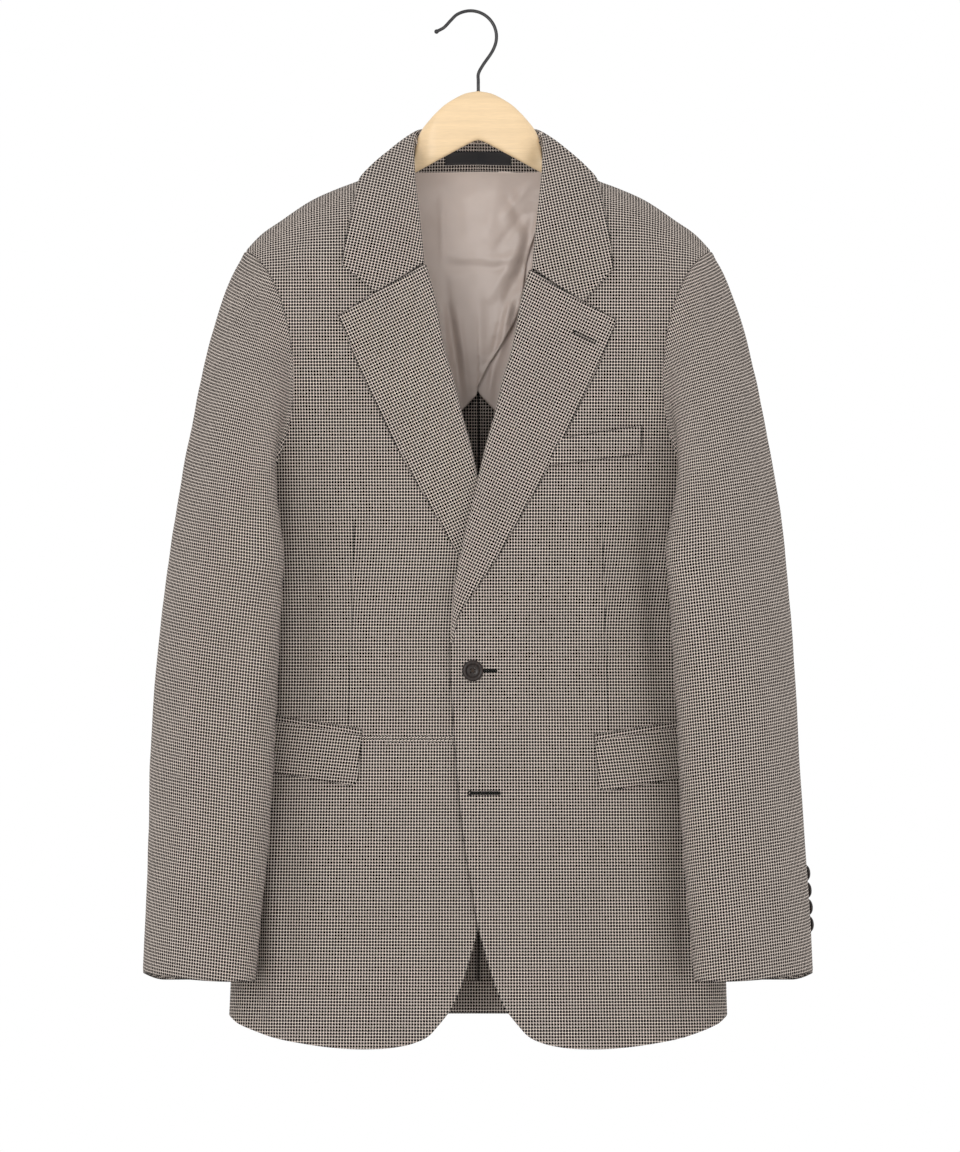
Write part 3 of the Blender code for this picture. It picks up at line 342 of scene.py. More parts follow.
@lru_cache(maxsize=None)
def girth_at(step):
    """Cloth round half the body, from the centre front to a turn counted in steps."""
    if step == 0:
        return 0.0
    here = body_point(0, step / GIRTH_STEPS, GIRTH_DOWN)
    before = body_point(0, (step - 1) / GIRTH_STEPS, GIRTH_DOWN)
    return girth_at(step - 1) + (here - before).xy.length


def girth(turn):
    place = abs(turn) * GIRTH_STEPS
    step = min(int(place), GIRTH_STEPS - 1)
    return math.copysign(mix(girth_at(step), girth_at(step + 1), place - step), turn)


def body_chart(side, turn, down):
    """Where a place of the body lies in flat cloth whose checks hang level."""
    out = abs(body_point(0, turn, down).x)
    return side * girth(turn), ROOF_CLOTH - down - shoulder_drop(out)


# ---------------------------------------------------------------- seams
def armhole(degrees):
    """The armhole seam as (turn, down): 0 on the shoulder, 90 at the front, 180 under the arm."""
    angle = math.radians(degrees)
    forward = math.sin(angle)
    cut = ARMHOLE_FRONT_CUT if forward > 0 else ARMHOLE_BACK_CUT
    out = ARMHOLE_OUT - ARMHOLE_LEAN * math.cos(angle) - cut * abs(forward)
    drop = ARMHOLE_DROP - ARMHOLE_HALF_HEIGHT * math.cos(angle) + ARMHOLE_SAG * abs(forward)
    turn, down = on_body(out, drop, forward < 0)
    if abs(math.cos(angle) - 1) < 1e-6:
        down = 0.0
    return turn, down


def out_at(turn, drop):
    return half_width(drop) * abs(math.sin(math.pi * turn)) ** (2 / ROUNDNESS)


def hem_drop(turn):
    if turn > 0.5:
        return HEM_BACK
    return mix(hem_drop_at(out_at(turn, HEM_BACK)), HEM_BACK, ease((turn - 0.4) / 0.1))


def down_at(turn, drop):
    """The way down the cloth to a drop, below the rounding of the shoulders."""
    return drop - shoulder_drop(out_at(turn, drop)) + ROOF_CLOTH


HEM_GRADE = 1.45


def lower_share(t):
    """Rows lie closer together towards the hem."""
    return 1 - (1 - t) ** HEM_GRADE


def seam_below(start, hem_turn, t):
    """A side seam below the armhole, at a share of the way down to the hem."""
    share = lower_share(t)
    end = down_at(hem_turn, hem_drop(hem_turn))
    return mix(start[0], hem_turn, share), mix(start[1], end, share)


def patch(top, bottom, inner, outer):
    """Fills the four-sided pattern piece between its edges, each a function of 0 to 1."""
    corners = (inner(0), outer(0), inner(1), outer(1))

    def place(c, r):
        result = []
        for k in range(2):
            value = mix(inner(r)[k], outer(r)[k], c) + mix(top(c)[k], bottom(c)[k], r)
            value -= mix(mix(corners[0][k], corners[1][k], c), mix(corners[2][k], corners[3][k], c), r)
            result.append(value)
        return result

    return place


SIDE_START = armhole(FRONT_DEGREES)
BACK_START = armhole(SIDE_DEGREES)
CORNER = INNER_LINE[-1]
FRONT_UPPER = 9 / 24    # share of the front's length above the underarm
BACK_UPPER = 10 / 25
FRONT_LEVEL = 408.0
BACK_LEVEL = 410.0
NECK_SHARE = 0.3        # share of the back's width that lies in the neckline


def front_pattern():
    def outer(r):
        if r <= FRONT_UPPER:
            return armhole(r / FRONT_UPPER * FRONT_DEGREES)
        return seam_below(SIDE_START, SIDE_SEAM_HEM, (r - FRONT_UPPER) / (1 - FRONT_UPPER))

    def inner(r):
        if r <= FRONT_UPPER:
            drop = mix(INNER_LINE[0].drop, FRONT_LEVEL, r / FRONT_UPPER)
        else:
            drop = mix(FRONT_LEVEL, CORNER.drop, lower_share((r - FRONT_UPPER) / (1 - FRONT_UPPER)))
        turn, down = on_body(inner_out(drop), drop)
        return (turn, 0.0) if r <= 0 else (turn, down)

    def bottom(c):
        start = on_body(CORNER.out, CORNER.drop)[0]
        out = mix(CORNER.out, out_at(SIDE_SEAM_HEM, HEM_BACK), c)
        turn = mix(start, SIDE_SEAM_HEM, c) if c in (0, 1) else on_body(out, hem_drop_at(out))[0]
        return turn, down_at(turn, hem_drop_at(out))

    neck_turn = on_body(INNER_LINE[0].out, INNER_LINE[0].drop)[0]
    return patch(lambda c: (mix(neck_turn, armhole(0)[0], c), 0.0), bottom, inner, outer)


def side_pattern(side_name):
    hem_turn = BACK_SEAM_HEM[side_name]

    def bottom(c):
        turn = mix(SIDE_SEAM_HEM, hem_turn, c)
        return turn, down_at(turn, hem_drop(turn))

    return patch(
        lambda c: armhole(mix(FRONT_DEGREES, SIDE_DEGREES, c)), bottom,
        lambda r: seam_below(SIDE_START, SIDE_SEAM_HEM, r), lambda r: seam_below(BACK_START, hem_turn, r))


def back_pattern(side_name):
    hem_turn = BACK_SEAM_HEM[side_name]

    def top(c):
        if c < NECK_SHARE:
            out = mix(0, NECK_OUT, c / NECK_SHARE)
            turn, down = on_body(out, max(NECK_BACK_DROP, shoulder_drop(out)), True)
            return turn, mix(down, 0.0, ease(c / NECK_SHARE) ** 3)
        neck_turn = on_body(NECK_OUT, NECK_BACK_DROP, True)[0]
        return mix(neck_turn, armhole(360)[0], (c - NECK_SHARE) / (1 - NECK_SHARE)), 0.0

    def bottom(c):
        turn = mix(1.0, hem_turn, c)
        return turn, down_at(turn, hem_drop(turn))

    def centre(r):
        start = on_body(0, NECK_BACK_DROP, True)[1]
        level = on_body(0, BACK_LEVEL, True)[1]
        if r <= BACK_UPPER:
            return 1.0, mix(start, level, r / BACK_UPPER)
        return 1.0, mix(level, down_at(1.0, HEM_BACK), lower_share((r - BACK_UPPER) / (1 - BACK_UPPER)))

    def outer(r):
        if r <= BACK_UPPER:
            return armhole(360 - r / BACK_UPPER * (360 - SIDE_DEGREES))
        return seam_below(BACK_START, hem_turn, (r - BACK_UPPER) / (1 - BACK_UPPER))

    return patch(top, bottom, centre, outer)


# ---------------------------------------------------------------- creases, listed one by one
Crease = namedtuple("Crease", "u_1 drop_1 u_2 drop_2 width height")
# u is sideways from the centre line, + towards the wearer's left; height + stands out of the cloth
FRONT_CREASES = table(
    Crease, (86, 400, 112, 552, 9, 1.3), (66, 430, 88, 560, 8, -1.0), (28, 604, 150, 560, 7, 0.9),
    (30, 616, 128, 588, 7, -0.9), (20, 600, 96, 660, 6, 0.7), (-34, 604, -140, 566, 8, 0.9),
    (-30, 620, -120, 604, 7, -0.8), (-32, 590, -92, 532, 7, 0.7), (-26, 640, -70, 720, 8, 0.7),
    (-190, 700, -182, 925, 9, 1.8), (-204, 760, -200, 925, 7, -1.4), (196, 700, 206, 925, 9, 1.5),
    (180, 730, 188, 900, 8, -1.2), (150, 705, 158, 925, 14, 1.2), (-150, 705, -140, 925, 14, 1.0),
    (-120, 710, -108, 880, 12, -0.8), (116, 712, 110, 900, 12, -0.8), (60, 730, 40, 905, 10, 0.7),
    (-56, 730, -44, 905, 10, 0.7), (152, 430, 164, 640, 9, -1.5), (-152, 440, -162, 640, 9, -1.5),
    (138, 250, 166, 370, 10, 1.3), (-136, 250, -164, 372, 10, 1.3), (150, 300, 128, 420, 9, -1.0),
    (-150, 300, -130, 420, 9, -0.9), (176, 210, 120, 250, 10, 0.8), (-178, 208, -118, 246, 10, 0.8),
    (150, 176, 186, 240, 8, -0.8), (-150, 176, -186, 240, 8, -0.8),
)
BACK_CREASES = table(
    Crease, (-40, 160, 44, 158, 9, 0.9), (-58, 176, 50, 182, 8, -0.8), (150, 210, 60, 300, 12, 1.1),
    (-152, 206, -70, 310, 12, 1.1), (176, 300, 118, 560, 12, -1.8), (-176, 290, -112, 580, 12, -1.8),
    (160, 380, 96, 620, 10, 1.4), (-164, 390, -100, 640, 10, 1.4), (8, 360, 14, 620, 12, 1.1),
    (-22, 520, -12, 760, 12, -1.1), (90, 600, 100, 895, 13, 1.5), (-96, 560, -84, 895, 13, 1.4),
    (140, 640, 150, 895, 12, -1.3), (-140, 660, -150, 895, 12, -1.3), (40, 700, 46, 895, 12, -1.0),
    (-36, 690, -44, 895, 12, 1.0), (190, 700, 196, 895, 9, 1.2), (-190, 680, -196, 895, 9, 1.2),
    (-110, 540, 30, 566, 9, 0.8), (120, 560, -10, 590, 9, -0.7),
)
SLEEVE_FRONT_CREASES = table(
    Crease, (190, 529, 214, 676, 8, 1.6), (206, 520, 232, 640, 8, -1.3), (199, 748, 238, 852, 8, 1.4),
    (222, 730, 262, 846, 8, -1.2), (244, 560, 262, 700, 12, 1.0), (188, 640, 250, 700, 8, -0.9),
    (190, 690, 246, 640, 8, 0.9), (212, 250, 214, 330, 8, -1.4), (226, 260, 238, 380, 9, 1.3),
    (200, 340, 218, 470, 9, -1.4), (186, 400, 204, 520, 8, 1.2), (250, 330, 262, 470, 10, -0.9),
    (196, 232, 214, 262, 6, 1.0), (270, 720, 276, 850, 8, 0.9), (-194, 240, -212, 290, 7, -2.2),
    (-206, 236, -226, 300, 7, 1.4), (-196, 330, -214, 470, 9, -1.4), (-184, 400, -198, 530, 8, 1.2),
    (-222, 300, -240, 430, 10, 1.2), (-186, 560, -214, 690, 8, 1.4), (-204, 540, -226, 660, 8, -1.2),
    (-190, 700, -246, 650, 8, 0.9), (-188, 650, -240, 704, 8, -0.9), (-250, 560, -262, 720, 12, 1.0),
    (-200, 760, -236, 856, 8, 1.3), (-222, 740, -258, 850, 8, -1.1), (-268, 730, -276, 850, 8, 0.9),
    (-252, 340, -260, 470, 10, -0.9),
)
SLEEVE_BACK_CREASES = table(
    Crease, (214, 270, 246, 420, 10, 1.4), (232, 300, 262, 470, 10, -1.2), (270, 560, 216, 640, 9, 1.6),
    (276, 600, 220, 680, 9, -1.4), (282, 650, 226, 720, 9, 1.2), (210, 470, 226, 620, 10, -1.2),
    (230, 740, 250, 860, 10, 1.0), (-214, 270, -244, 430, 10, 1.4), (-232, 300, -258, 470, 10, -1.2),
    (-268, 570, -214, 650, 9, 1.6), (-274, 610, -218, 690, 9, -1.4), (-280, 660, -222, 726, 9, 1.2),
    (-208, 470, -222, 620, 10, -1.2), (-228, 740, -250, 860, 10, 1.0),
)
LAPEL_CREASES = table(
    Crease, (52, 300, 92, 262, 10, 0.7), (-52, 304, -90, 266, 10, 0.7), (30, 380, 70, 330, 9, 0.6),
    (-30, 386, -72, 340, 9, 0.6), (4, 500, 22, 440, 8, 0.8), (-2, 500, -26, 440, 8, 0.6),
)
LINING_CREASES = table(
    Crease, (-36, 218, 40, 223, 3.2, 0.5), (-34, 226, 38, 231, 3.4, -0.45), (-33, 158, -32, 232, 2.4, 0.7),
    (-30, 232, -22, 330, 3.0, -0.7), (48, 152, 20, 186, 4, 0.9), (50, 170, 14, 214, 4, -0.8),
    (44, 196, 8, 262, 5, 0.9), (36, 236, 12, 330, 4, 1.2), (28, 246, 8, 336, 3, -1.2),
    (-28, 260, -15, 348, 3, -1.3), (-20, 264, -8, 352, 3, 1.0), (14, 300, 10, 352, 3, 1.0),
    (-44, 300, -24, 380, 4, 1.0), (-2, 240, 2, 330, 6, 0.7), (-16, 160, -6, 214, 6, -0.6),
    (14, 160, 8, 208, 6, 0.6),
)
LINING_HOLLOWS = table(
    Crease, (22, 150, 44, 200, 6, -3.0), (50, 170, 40, 250, 6, -5.0), (44, 216, 26, 262, 5, -4.0),
    (34, 240, 18, 300, 6, 2.2), (30, 236, 34, 292, 6, -3.2), (-26, 262, -16, 330, 4, -2.2),
    (-34, 226, -8, 232, 5, -1.2), (6, 226, 40, 216, 4, 1.2),
)


def crease_height(creases, u, drop):
    height = 0.0
    for crease in creases:
        along_u = crease.u_2 - crease.u_1
        along_drop = crease.drop_2 - crease.drop_1
        length = math.hypot(along_u, along_drop)
        t = ((u - crease.u_1) * along_u + (drop - crease.drop_1) * along_drop) / length ** 2
        if not 0 < t < 1:
            continue
        away = ((u - crease.u_1) * along_drop - (drop - crease.drop_1) * along_u) / length / crease.width
        if abs(away) < 3:
            height += crease.height * math.exp(-away * away) * math.sin(math.pi * t) ** 0.7
    return height


def rumple(point, size=52.0, height=0.55):
    """Soft unevenness that all hanging cloth has, in millimetres."""
    place = point / (size * MM)
    return height * (noise.noise(place) + 0.5 * noise.noise(place * 2.1 + Vector((7, 3, 5))))


def rumpled(size, height):
    """The relief of a piece that has no creases."""
    return lambda c, r, place, normal: rumple(place, size, height)


def pressed(distance, depth=0.5, width=1.5):
    """A pressed seam or edge sinks a little; the distance from it is in millimetres."""
    return -depth * math.exp(-(distance / width) ** 2)


# ---------------------------------------------------------------- making a sheet of cloth
def to_world(side, point):
    return Vector((CENTRE_X + side * point.x, point.y, -point.z)) * MM


def from_world(place):
    """Sideways from the centre line and down, in millimetres."""
    return place.x / MM - CENTRE_X, -place.z / MM


GRADE = 0.7


def graded(t):
    """Lines of a grid lie closer together towards its edges."""
    return t - GRADE * math.sin(2 * math.pi * t) / (2 * math.pi)


def even(t):
    return t


Lay = namedtuple("Lay", "columns rows across along")


def mesh_from(bm, name):
    mesh = bpy.data.meshes.new(name)
    bm.to_mesh(mesh)
    bm.free()
    return mesh


def linked(name, data):
    item = bpy.data.objects.new(name, data)
    bpy.context.scene.collection.objects.link(item)
    return item


def object_from(bm, name, finishes, slot, nodes=()):
    """A piece of the jacket that rides on its one body."""
    mesh = mesh_from(bm, name)
    mesh.shade_smooth()
    for finish in finishes:
        mesh.materials.append(material(finish))
    piece = linked(name, mesh)
    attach(piece, "root")
    if nodes:
        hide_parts(*nodes)
    return piece


FAR = 1000.0            # a place that is near no edge
SUITING = ("houndstooth_wool",)
LINED = ("houndstooth_wool", "lining_satin", "houndstooth_wool")     # outside, inside, turned in


def towards_front(place):
    return Vector((0, -1, 0))


def make_cloth(name, surface, lay, relief, chart, facing=towards_front, finishes=SUITING, nodes=None,
               wall=CLOTH, held="hung", rests_on=("hanger_wood",), slot="houndstooth", grain=0.0, extra=None,
               edges=None, thin=None, turned_in=None):
    """One sheet of cloth: surface, relief and chart are functions of its shares c across and r down.

    It takes the place of the node that it is named after, if nodes doesn't say otherwise. edges tells
    the distances from its pressed edges, thin the share of its wall that is left, and turned_in where
    the suiting goes on inside, as it does behind a hem.
    """
    bm = bmesh.new()
    bmesh.ops.create_grid(bm, x_segments=lay.columns, y_segments=lay.rows, size=0.5)
    shares = [(lay.across(clamped(vert.co.x + 0.5)), lay.along(clamped(vert.co.y + 0.5)))
              for vert in bm.verts]
    for vert, share in zip(bm.verts, shares):
        vert.co = surface(*share)
    bm.normal_update()
    outward = sum(face.normal.dot(facing(face.calc_center_median())) * face.calc_area() for face in bm.faces)
    if outward < 0:
        bmesh.ops.reverse_faces(bm, faces=bm.faces[:])
        bm.normal_update()
    bm.verts.ensure_lookup_table()
    edge_places = [min(edges(c, r)) if edges else FAR for c, r in shares]
    heights = [relief(c, r, vert.co, vert.normal) + pressed(place)
               for vert, place, (c, r) in zip(bm.verts, edge_places, shares)]
    for vert, height in zip(bm.verts, heights):
        vert.co += vert.normal * height * MM
    flat = [Vector(chart(c, r)) * MM for c, r in shares]
    turn = Matrix.Rotation(math.radians(grain), 2)
    layer = bm.loops.layers.uv.new("cloth")
    for face in bm.faces:
        corners = [flat[vert.index] for vert in face.verts]
        for loop in face.loops:
            loop[layer].uv = turn @ flat[loop.vert.index]
    # distance from the pressed edges and seams; along it the wool gets a dark seam line at seams and a
    # painted shadow line at free edges
    edge_layer = bm.verts.layers.float.new("edge")
    for vert, place in zip(bm.verts, edge_places):
        vert[edge_layer] = place * MM
    for layer_name, read in (extra or {}).items():
        float_layer = bm.verts.layers.float.new(layer_name)
        for vert, (c, r) in zip(bm.verts, shares):
            vert[float_layer] = read(c, r)
    if turned_in:
        for face in bm.faces:
            if all(turned_in(*shares[vert.index]) for vert in face.verts):
                face.material_index = len(finishes) - 1
    piece = object_from(bm, name, finishes, slot, nodes or [name.replace("_cloth", "")])
    solid = piece.modifiers.new("wall", "SOLIDIFY")
    if thin:
        group = piece.vertex_groups.new(name="wall")
        for number, (c, r) in enumerate(shares):
            group.add([number], thin(c, r), "REPLACE")
        solid.vertex_group = "wall"
    solid.thickness = wall * MM
    solid.offset = -1
    solid.use_even_offset = False
    if len(finishes) > 1:
        solid.material_offset = 1
    list(rests_on)
    return piece


# ---------------------------------------------------------------- materials
class Maker:
    """Builds a material's nodes, one value at a time."""

    def __init__(self, name):
        self.material = bpy.data.materials.new(name)
        self.material.use_nodes = True
        self.tree = self.material.node_tree
        self.shader = self.tree.nodes["Principled BSDF"]

    def node(self, kind, inputs, **settings):
        """A new node's outputs; inputs says what goes into which of its sockets."""
        made = self.tree.nodes.new(kind)
        for key, value in settings.items():
            setattr(made, key, value)
        for socket, value in inputs.items():
            self.plug(value, made.inputs[socket])
        return made.outputs

    def plug(self, value, socket):
        if hasattr(value, "links"):
            self.tree.links.new(value, socket)
        else:
            socket.default_value = value

    def set(self, **values):
        for name, value in values.items():
            self.plug(value, self.shader.inputs[name.replace("_", " ")])

    def math(self, operation, first, second=0.0, third=0.0):
        return self.node("ShaderNodeMath", {0: first, 1: second, 2: third}, operation=operation)[0]

    def plus(self, first, second):
        return self.math("ADD", first, second)

    def times(self, first, second):
        return self.math("MULTIPLY", first, second)

    def blend(self, share, first, second, blend_type="MIX"):
        sockets = {0: share, 6: first, 7: second}
        return self.node("ShaderNodeMix", sockets, data_type="RGBA", blend_type=blend_type)[2]

    def scaled(self, share, low, high):
        return self.node("ShaderNodeMapRange", {0: share, 3: low, 4: high})[0]

    def noise(self, vector, scale, detail=2.0, roughness=0.5):
        sockets = {"Vector": vector, "Scale": scale, "Detail": detail, "Roughness": roughness}
        return self.node("ShaderNodeTexNoise", sockets)["Fac"]

    def wave(self, vector, scale, distortion=0.0):
        sockets = {"Vector": vector, "Scale": scale, "Distortion": distortion}
        return self.node("ShaderNodeTexWave", sockets)["Fac"]

    def place(self):
        return self.node("ShaderNodeTexCoord", {})["Object"]

    def stretched(self, scale, tilt=0.0):
        sockets = {"Vector": self.place(), "Scale": scale, "Rotation": (0.0, tilt, 0.0)}
        return self.node("ShaderNodeMapping", sockets)[0]

    def cloth_place(self):
        return self.node("ShaderNodeUVMap", {}, uv_map="cloth")[0]

    def parts(self, vector):
        return self.node("ShaderNodeSeparateXYZ", {0: vector})[:2]

    def attribute(self, name):
        return self.node("ShaderNodeAttribute", {}, attribute_name=name)["Fac"]

    def bump(self, height, strength, distance):
        sockets = {"Strength": strength, "Distance": distance, "Height": height}
        self.set(Normal=self.node("ShaderNodeBump", sockets)[0])


def opaque(colour, share=1.0):
    return (*(share * c for c in colour), 1.0)


THREADS = 4             # dark threads, then as many light ones, make the check
DARK_SHARE = 0.715      # the dark threads are the thicker ones
DART_LINE = 0.0006
# width of the dark line along pressed edges: a seam line at seams, painted shadow along free edges
EDGE_SHADOW_LINE = 0.0008
LEAST_TAKE = 0.0001     # a dart shows where it takes up more than this
BLACK_THREAD = (0.003, 0.0035, 0.003)
BROWN_THREAD = (0.03, 0.02, 0.014)


def threads(m, place, repeat):
    """Whether a dark thread lies there, and which thread of the repeat it is."""
    share = m.math("FRACT", m.times(place, 1 / repeat))
    dark = m.math("MINIMUM", m.times(share, THREADS / DARK_SHARE), THREADS)
    light = m.times(m.math("SUBTRACT", share, DARK_SHARE), THREADS / (1 - DARK_SHARE))
    return m.math("LESS_THAN", share, DARK_SHARE), m.plus(dark, m.math("MAXIMUM", light, 0.0))


def darkened(m, shade, distance, width, depth, where=1.0):
    """The shade, darker on a line of that width: a seam line, or a painted shadow line along an edge."""
    near = m.times(distance, 1 / width)
    line = m.times(m.math("POWER", math.e, m.times(m.times(near, near), -1.0)), where)
    return m.times(shade, m.math("MULTIPLY_ADD", line, -depth, 1.0))


def houndstooth(m, sizes):
    """Two-up, two-down twill of dark and light threads, warp and weft alike."""
    place = m.cloth_place()
    across, down = m.parts(place)
    dart = m.attribute("dart")
    take = m.attribute("take")
    across = m.math("MULTIPLY_ADD", take, m.math("GREATER_THAN", dart, 0.0), across)
    warp_dark, warp_place = threads(m, across, sizes.check_width)
    weft_dark, weft_place = threads(m, down, sizes.check_height)
    step = m.math("SUBTRACT", m.math("FLOOR", warp_place), m.math("FLOOR", weft_place))
    warp_over = m.math("LESS_THAN", m.math("FLOORED_MODULO", step, THREADS), THREADS / 2)

    def upper(warp, weft):
        """What the thread on top has."""
        return m.plus(m.times(warp, warp_over), m.times(weft, m.math("SUBTRACT", 1.0, warp_over)))

    def ridge(thread_place):
        return m.math("ABSOLUTE", m.math("SINE", m.times(thread_place, math.pi)))

    slub = m.noise(place, 900.0)
    cream = m.blend(slub, opaque(sizes.cream, 0.86), opaque(sizes.cream))
    ink = m.blend(slub, opaque(sizes.ink), opaque(sizes.ink, 1.6))
    woven = m.blend(upper(warp_dark, weft_dark), cream, ink)
    # random mottling of the wool's tone; the seam lines and the painted edge shadow are multiplied into it
    # below
    shade = m.scaled(m.noise(place, 24.0, 3.0), 0.90, 1.08)
    shade = darkened(m, shade, dart, DART_LINE, 0.4, m.math("GREATER_THAN", take, LEAST_TAKE))
    # painted shadow line along free edges such as the lapels, flaps, collar and front edge; at seams it is
    # the seam line
    shade = darkened(m, shade, m.attribute("edge"), EDGE_SHADOW_LINE, 0.7)
    tint = m.node("ShaderNodeCombineColor", {0: shade, 1: shade, 2: shade})[0]
    m.bump(m.plus(upper(ridge(warp_place), ridge(weft_place)), slub), 0.35, 0.00012)
    m.set(Base_Color=m.blend(1.0, woven, tint, "MULTIPLY"), Roughness=0.92, Specular_IOR_Level=0.18,
          Sheen_Weight=0.05, Sheen_Roughness=0.5, Sheen_Tint=(0.9, 0.84, 0.78, 1.0))


def satin(m, sizes):
    """Beige satin with a faint twill line."""
    place = m.cloth_place()
    line = m.math("SINE", m.times(m.plus(*m.parts(place)), 11000.0))
    m.bump(m.plus(line, m.noise(place, 260.0)), 0.12, 0.0002)
    m.set(Base_Color=m.blend(m.noise(place, 40.0, 3.0), opaque(sizes.lining, 0.86), opaque(sizes.lining)),
          Roughness=0.34, Anisotropic=0.5, Sheen_Weight=0.15, Specular_IOR_Level=0.6)


def black_label(m, sizes):
    """Black woven label, finely ribbed."""
    place = m.cloth_place()
    m.bump(m.math("SINE", m.times(m.parts(place)[1], 9000.0)), 0.3, 0.00015)
    m.set(Base_Color=m.blend(m.noise(place, 700.0), (0.006, 0.006, 0.008, 1), (0.016, 0.016, 0.02, 1)),
          Roughness=0.6, Sheen_Weight=0.2)


def horn(m, sizes):
    """Dark brown horn with paler streaks, polished."""
    place = m.place()
    share = m.times(m.noise(place, 60.0, 4.0, 0.6), m.wave(place, 90.0, 6.0))
    m.bump(m.noise(place, 900.0), 0.08, 0.0001)
    m.set(Base_Color=m.blend(share, opaque(sizes.horn), opaque(sizes.horn, 3.2)), Roughness=0.32,
          Coat_Weight=0.12, Coat_Roughness=0.12, Specular_IOR_Level=0.35)


def twisted_thread(m, colour):
    ply = m.wave(m.place(), 900.0)
    m.bump(ply, 0.3, 0.0001)
    m.set(Base_Color=m.blend(ply, opaque(colour), opaque(colour, 2.2)), Roughness=0.7, Specular_IOR_Level=0.2)


def maple(m, sizes):
    """Pale maple, its grain lying along the arms, under a satin varnish."""
    grain = m.noise(m.stretched((3.0, 30.0, 60.0), math.radians(4)), 3.0, 5.0, 0.62)
    pore = m.noise(m.stretched((60.0, 400.0, 900.0)), 2.0, 3.0)
    wood = m.blend(m.scaled(grain, -0.4, 1.4), opaque(sizes.maple, 0.80), opaque(sizes.maple))
    m.bump(m.plus(grain, pore), 0.10, 0.0004)
    m.set(Base_Color=m.blend(m.scaled(pore, -0.2, 0.35), wood, opaque(sizes.maple, 0.62)),
          Roughness=0.42, Coat_Weight=0.25, Coat_Roughness=0.3)


def dark_nickel(m, sizes):
    wear = m.noise(m.place(), 220.0, 3.0)
    m.bump(m.noise(m.place(), 1500.0), 0.05, 0.0001)
    m.set(Base_Color=m.blend(wear, (0.035, 0.035, 0.04, 1), (0.09, 0.088, 0.085, 1)),
          Roughness=m.scaled(wear, 0.22, 0.38), Metallic=1.0)


def pale_floor(m, sizes):
    m.set(Base_Color=m.blend(m.noise(m.place(), 3.0, 3.0), opaque(sizes.floor, 0.97), opaque(sizes.floor)),
          Roughness=0.85)


FINISHES = {
    "houndstooth_wool": houndstooth,
    "lining_satin": satin,
    "label_black": black_label,
    "button_horn": horn,
    "buttonhole_thread": lambda m, sizes: twisted_thread(m, BLACK_THREAD),
    "button_thread": lambda m, sizes: twisted_thread(m, BROWN_THREAD),
    "hanger_maple": maple,
    "hook_dark_nickel": dark_nickel,
    "floor_pale": pale_floor,
}


def material(name):
    """A finish, made the first time that a piece asks for it."""
    made = bpy.data.materials.get(name)
    if made:
        return made
    m = Maker(name)
    FINISHES[name](m, bpy.context.scene.jacket)
    return m.material


# ---------------------------------------------------------------- body panels
DART_TOP = 449.0
DART_BOTTOM = 655.0
DART_OUT = 111.0
DART_LEAN = 0.031
DART_TAKE = 7.0
DART_FADE = 120.0       # the dart opens over this length
FACING_SHARE = 0.4      # share of a front's width that is faced with suiting inside
ARMHOLE_FACED = 0.3     # share of the length, from the armhole down, where the inside is suiting too


def outward_from_body(place):
    return Vector((place.x - CENTRE_X * MM, 3 * (place.y - SIDE_DEPTH * MM), 0))


def make_panel(name, side, pattern, lay, size, seams, creases, extra=None, turned_in=None):
    """A panel of the body; seams name the edges that are pressed flat, size is its rough width and length."""
    def surface(c, r):
        turn, down = pattern(c, r)
        return to_world(side, raised(side, turn, max(down, 0.0), 0.0))

    def relief(c, r, place, normal):
        u, drop = from_world(place)
        fade = ease((drop - shoulder_drop(abs(u)) - 4) / 30)
        height = crease_height(creases, u, drop) * bpy.context.scene.jacket.crease_strength * fade
        return height + rumple(place) * fade

    def edges(c, r):
        near = {"inner": c * size[0], "outer": (1 - c) * size[0], "bottom": (1 - r) * size[1]}
        return [near[seam] for seam in seams]

    def chart(c, r):
        turn, down = pattern(c, r)
        return body_chart(side, turn, max(down, 0.0))

    make_cloth(name, surface, lay, relief, chart, outward_from_body, LINED if turned_in else SUITING,
               extra=extra, edges=edges, turned_in=turned_in)


class JACKET_OT_fronts(bpy.types.Operator):
    """Two fronts with their waist darts, the left lapping over the right"""
    bl_idname = "jacket.fronts"
    bl_label = "Fronts"

    def execute(self, context):
        pattern = front_pattern()
        for side_name, side in SIDES.items():
            def dart(c, r, side=side):
                point = body_point(side, *pattern(c, r))
                return side * (point.x - DART_OUT - DART_LEAN * (point.z - DART_TOP)) * MM

            def take(c, r, side=side):
                drop = body_point(side, *pattern(c, r)).z
                opened = ease((drop - DART_TOP) / DART_FADE) if drop < DART_BOTTOM else 0.0
                return DART_TAKE * MM * opened

            make_panel(f"front_{side_name}_cloth", side, pattern, Lay(64, 220, graded, even), (215, 800),
                       ("inner", "bottom"), FRONT_CREASES, extra={"dart": dart, "take": take},
                       turned_in=lambda c, r: c < FACING_SHARE or r > 0.95)
        return {"FINISHED"}


class JACKET_OT_sides(bpy.types.Operator):
    """Side panels under the arms"""
    bl_idname = "jacket.sides"
    bl_label = "Side panels"

    def execute(self, context):
        for side_name, side in SIDES.items():
            make_panel(f"side_{side_name}_cloth", side, side_pattern(side_name), Lay(34, 130, graded, graded),
                       (110, 500), ("bottom",), FRONT_CREASES,
                       turned_in=lambda c, r: r > 0.93 or r < ARMHOLE_FACED)
        return {"FINISHED"}


class JACKET_OT_backs(bpy.types.Operator):
    """Two backs with the centre seam"""
    bl_idname = "jacket.backs"
    bl_label = "Backs"

    def execute(self, context):
        for side_name, side in SIDES.items():
            make_panel(f"back_{side_name}_cloth", side, back_pattern(side_name), Lay(62, 210, graded, even),
                       (220, 790), ("inner", "outer", "bottom"), BACK_CREASES)
        return {"FINISHED"}


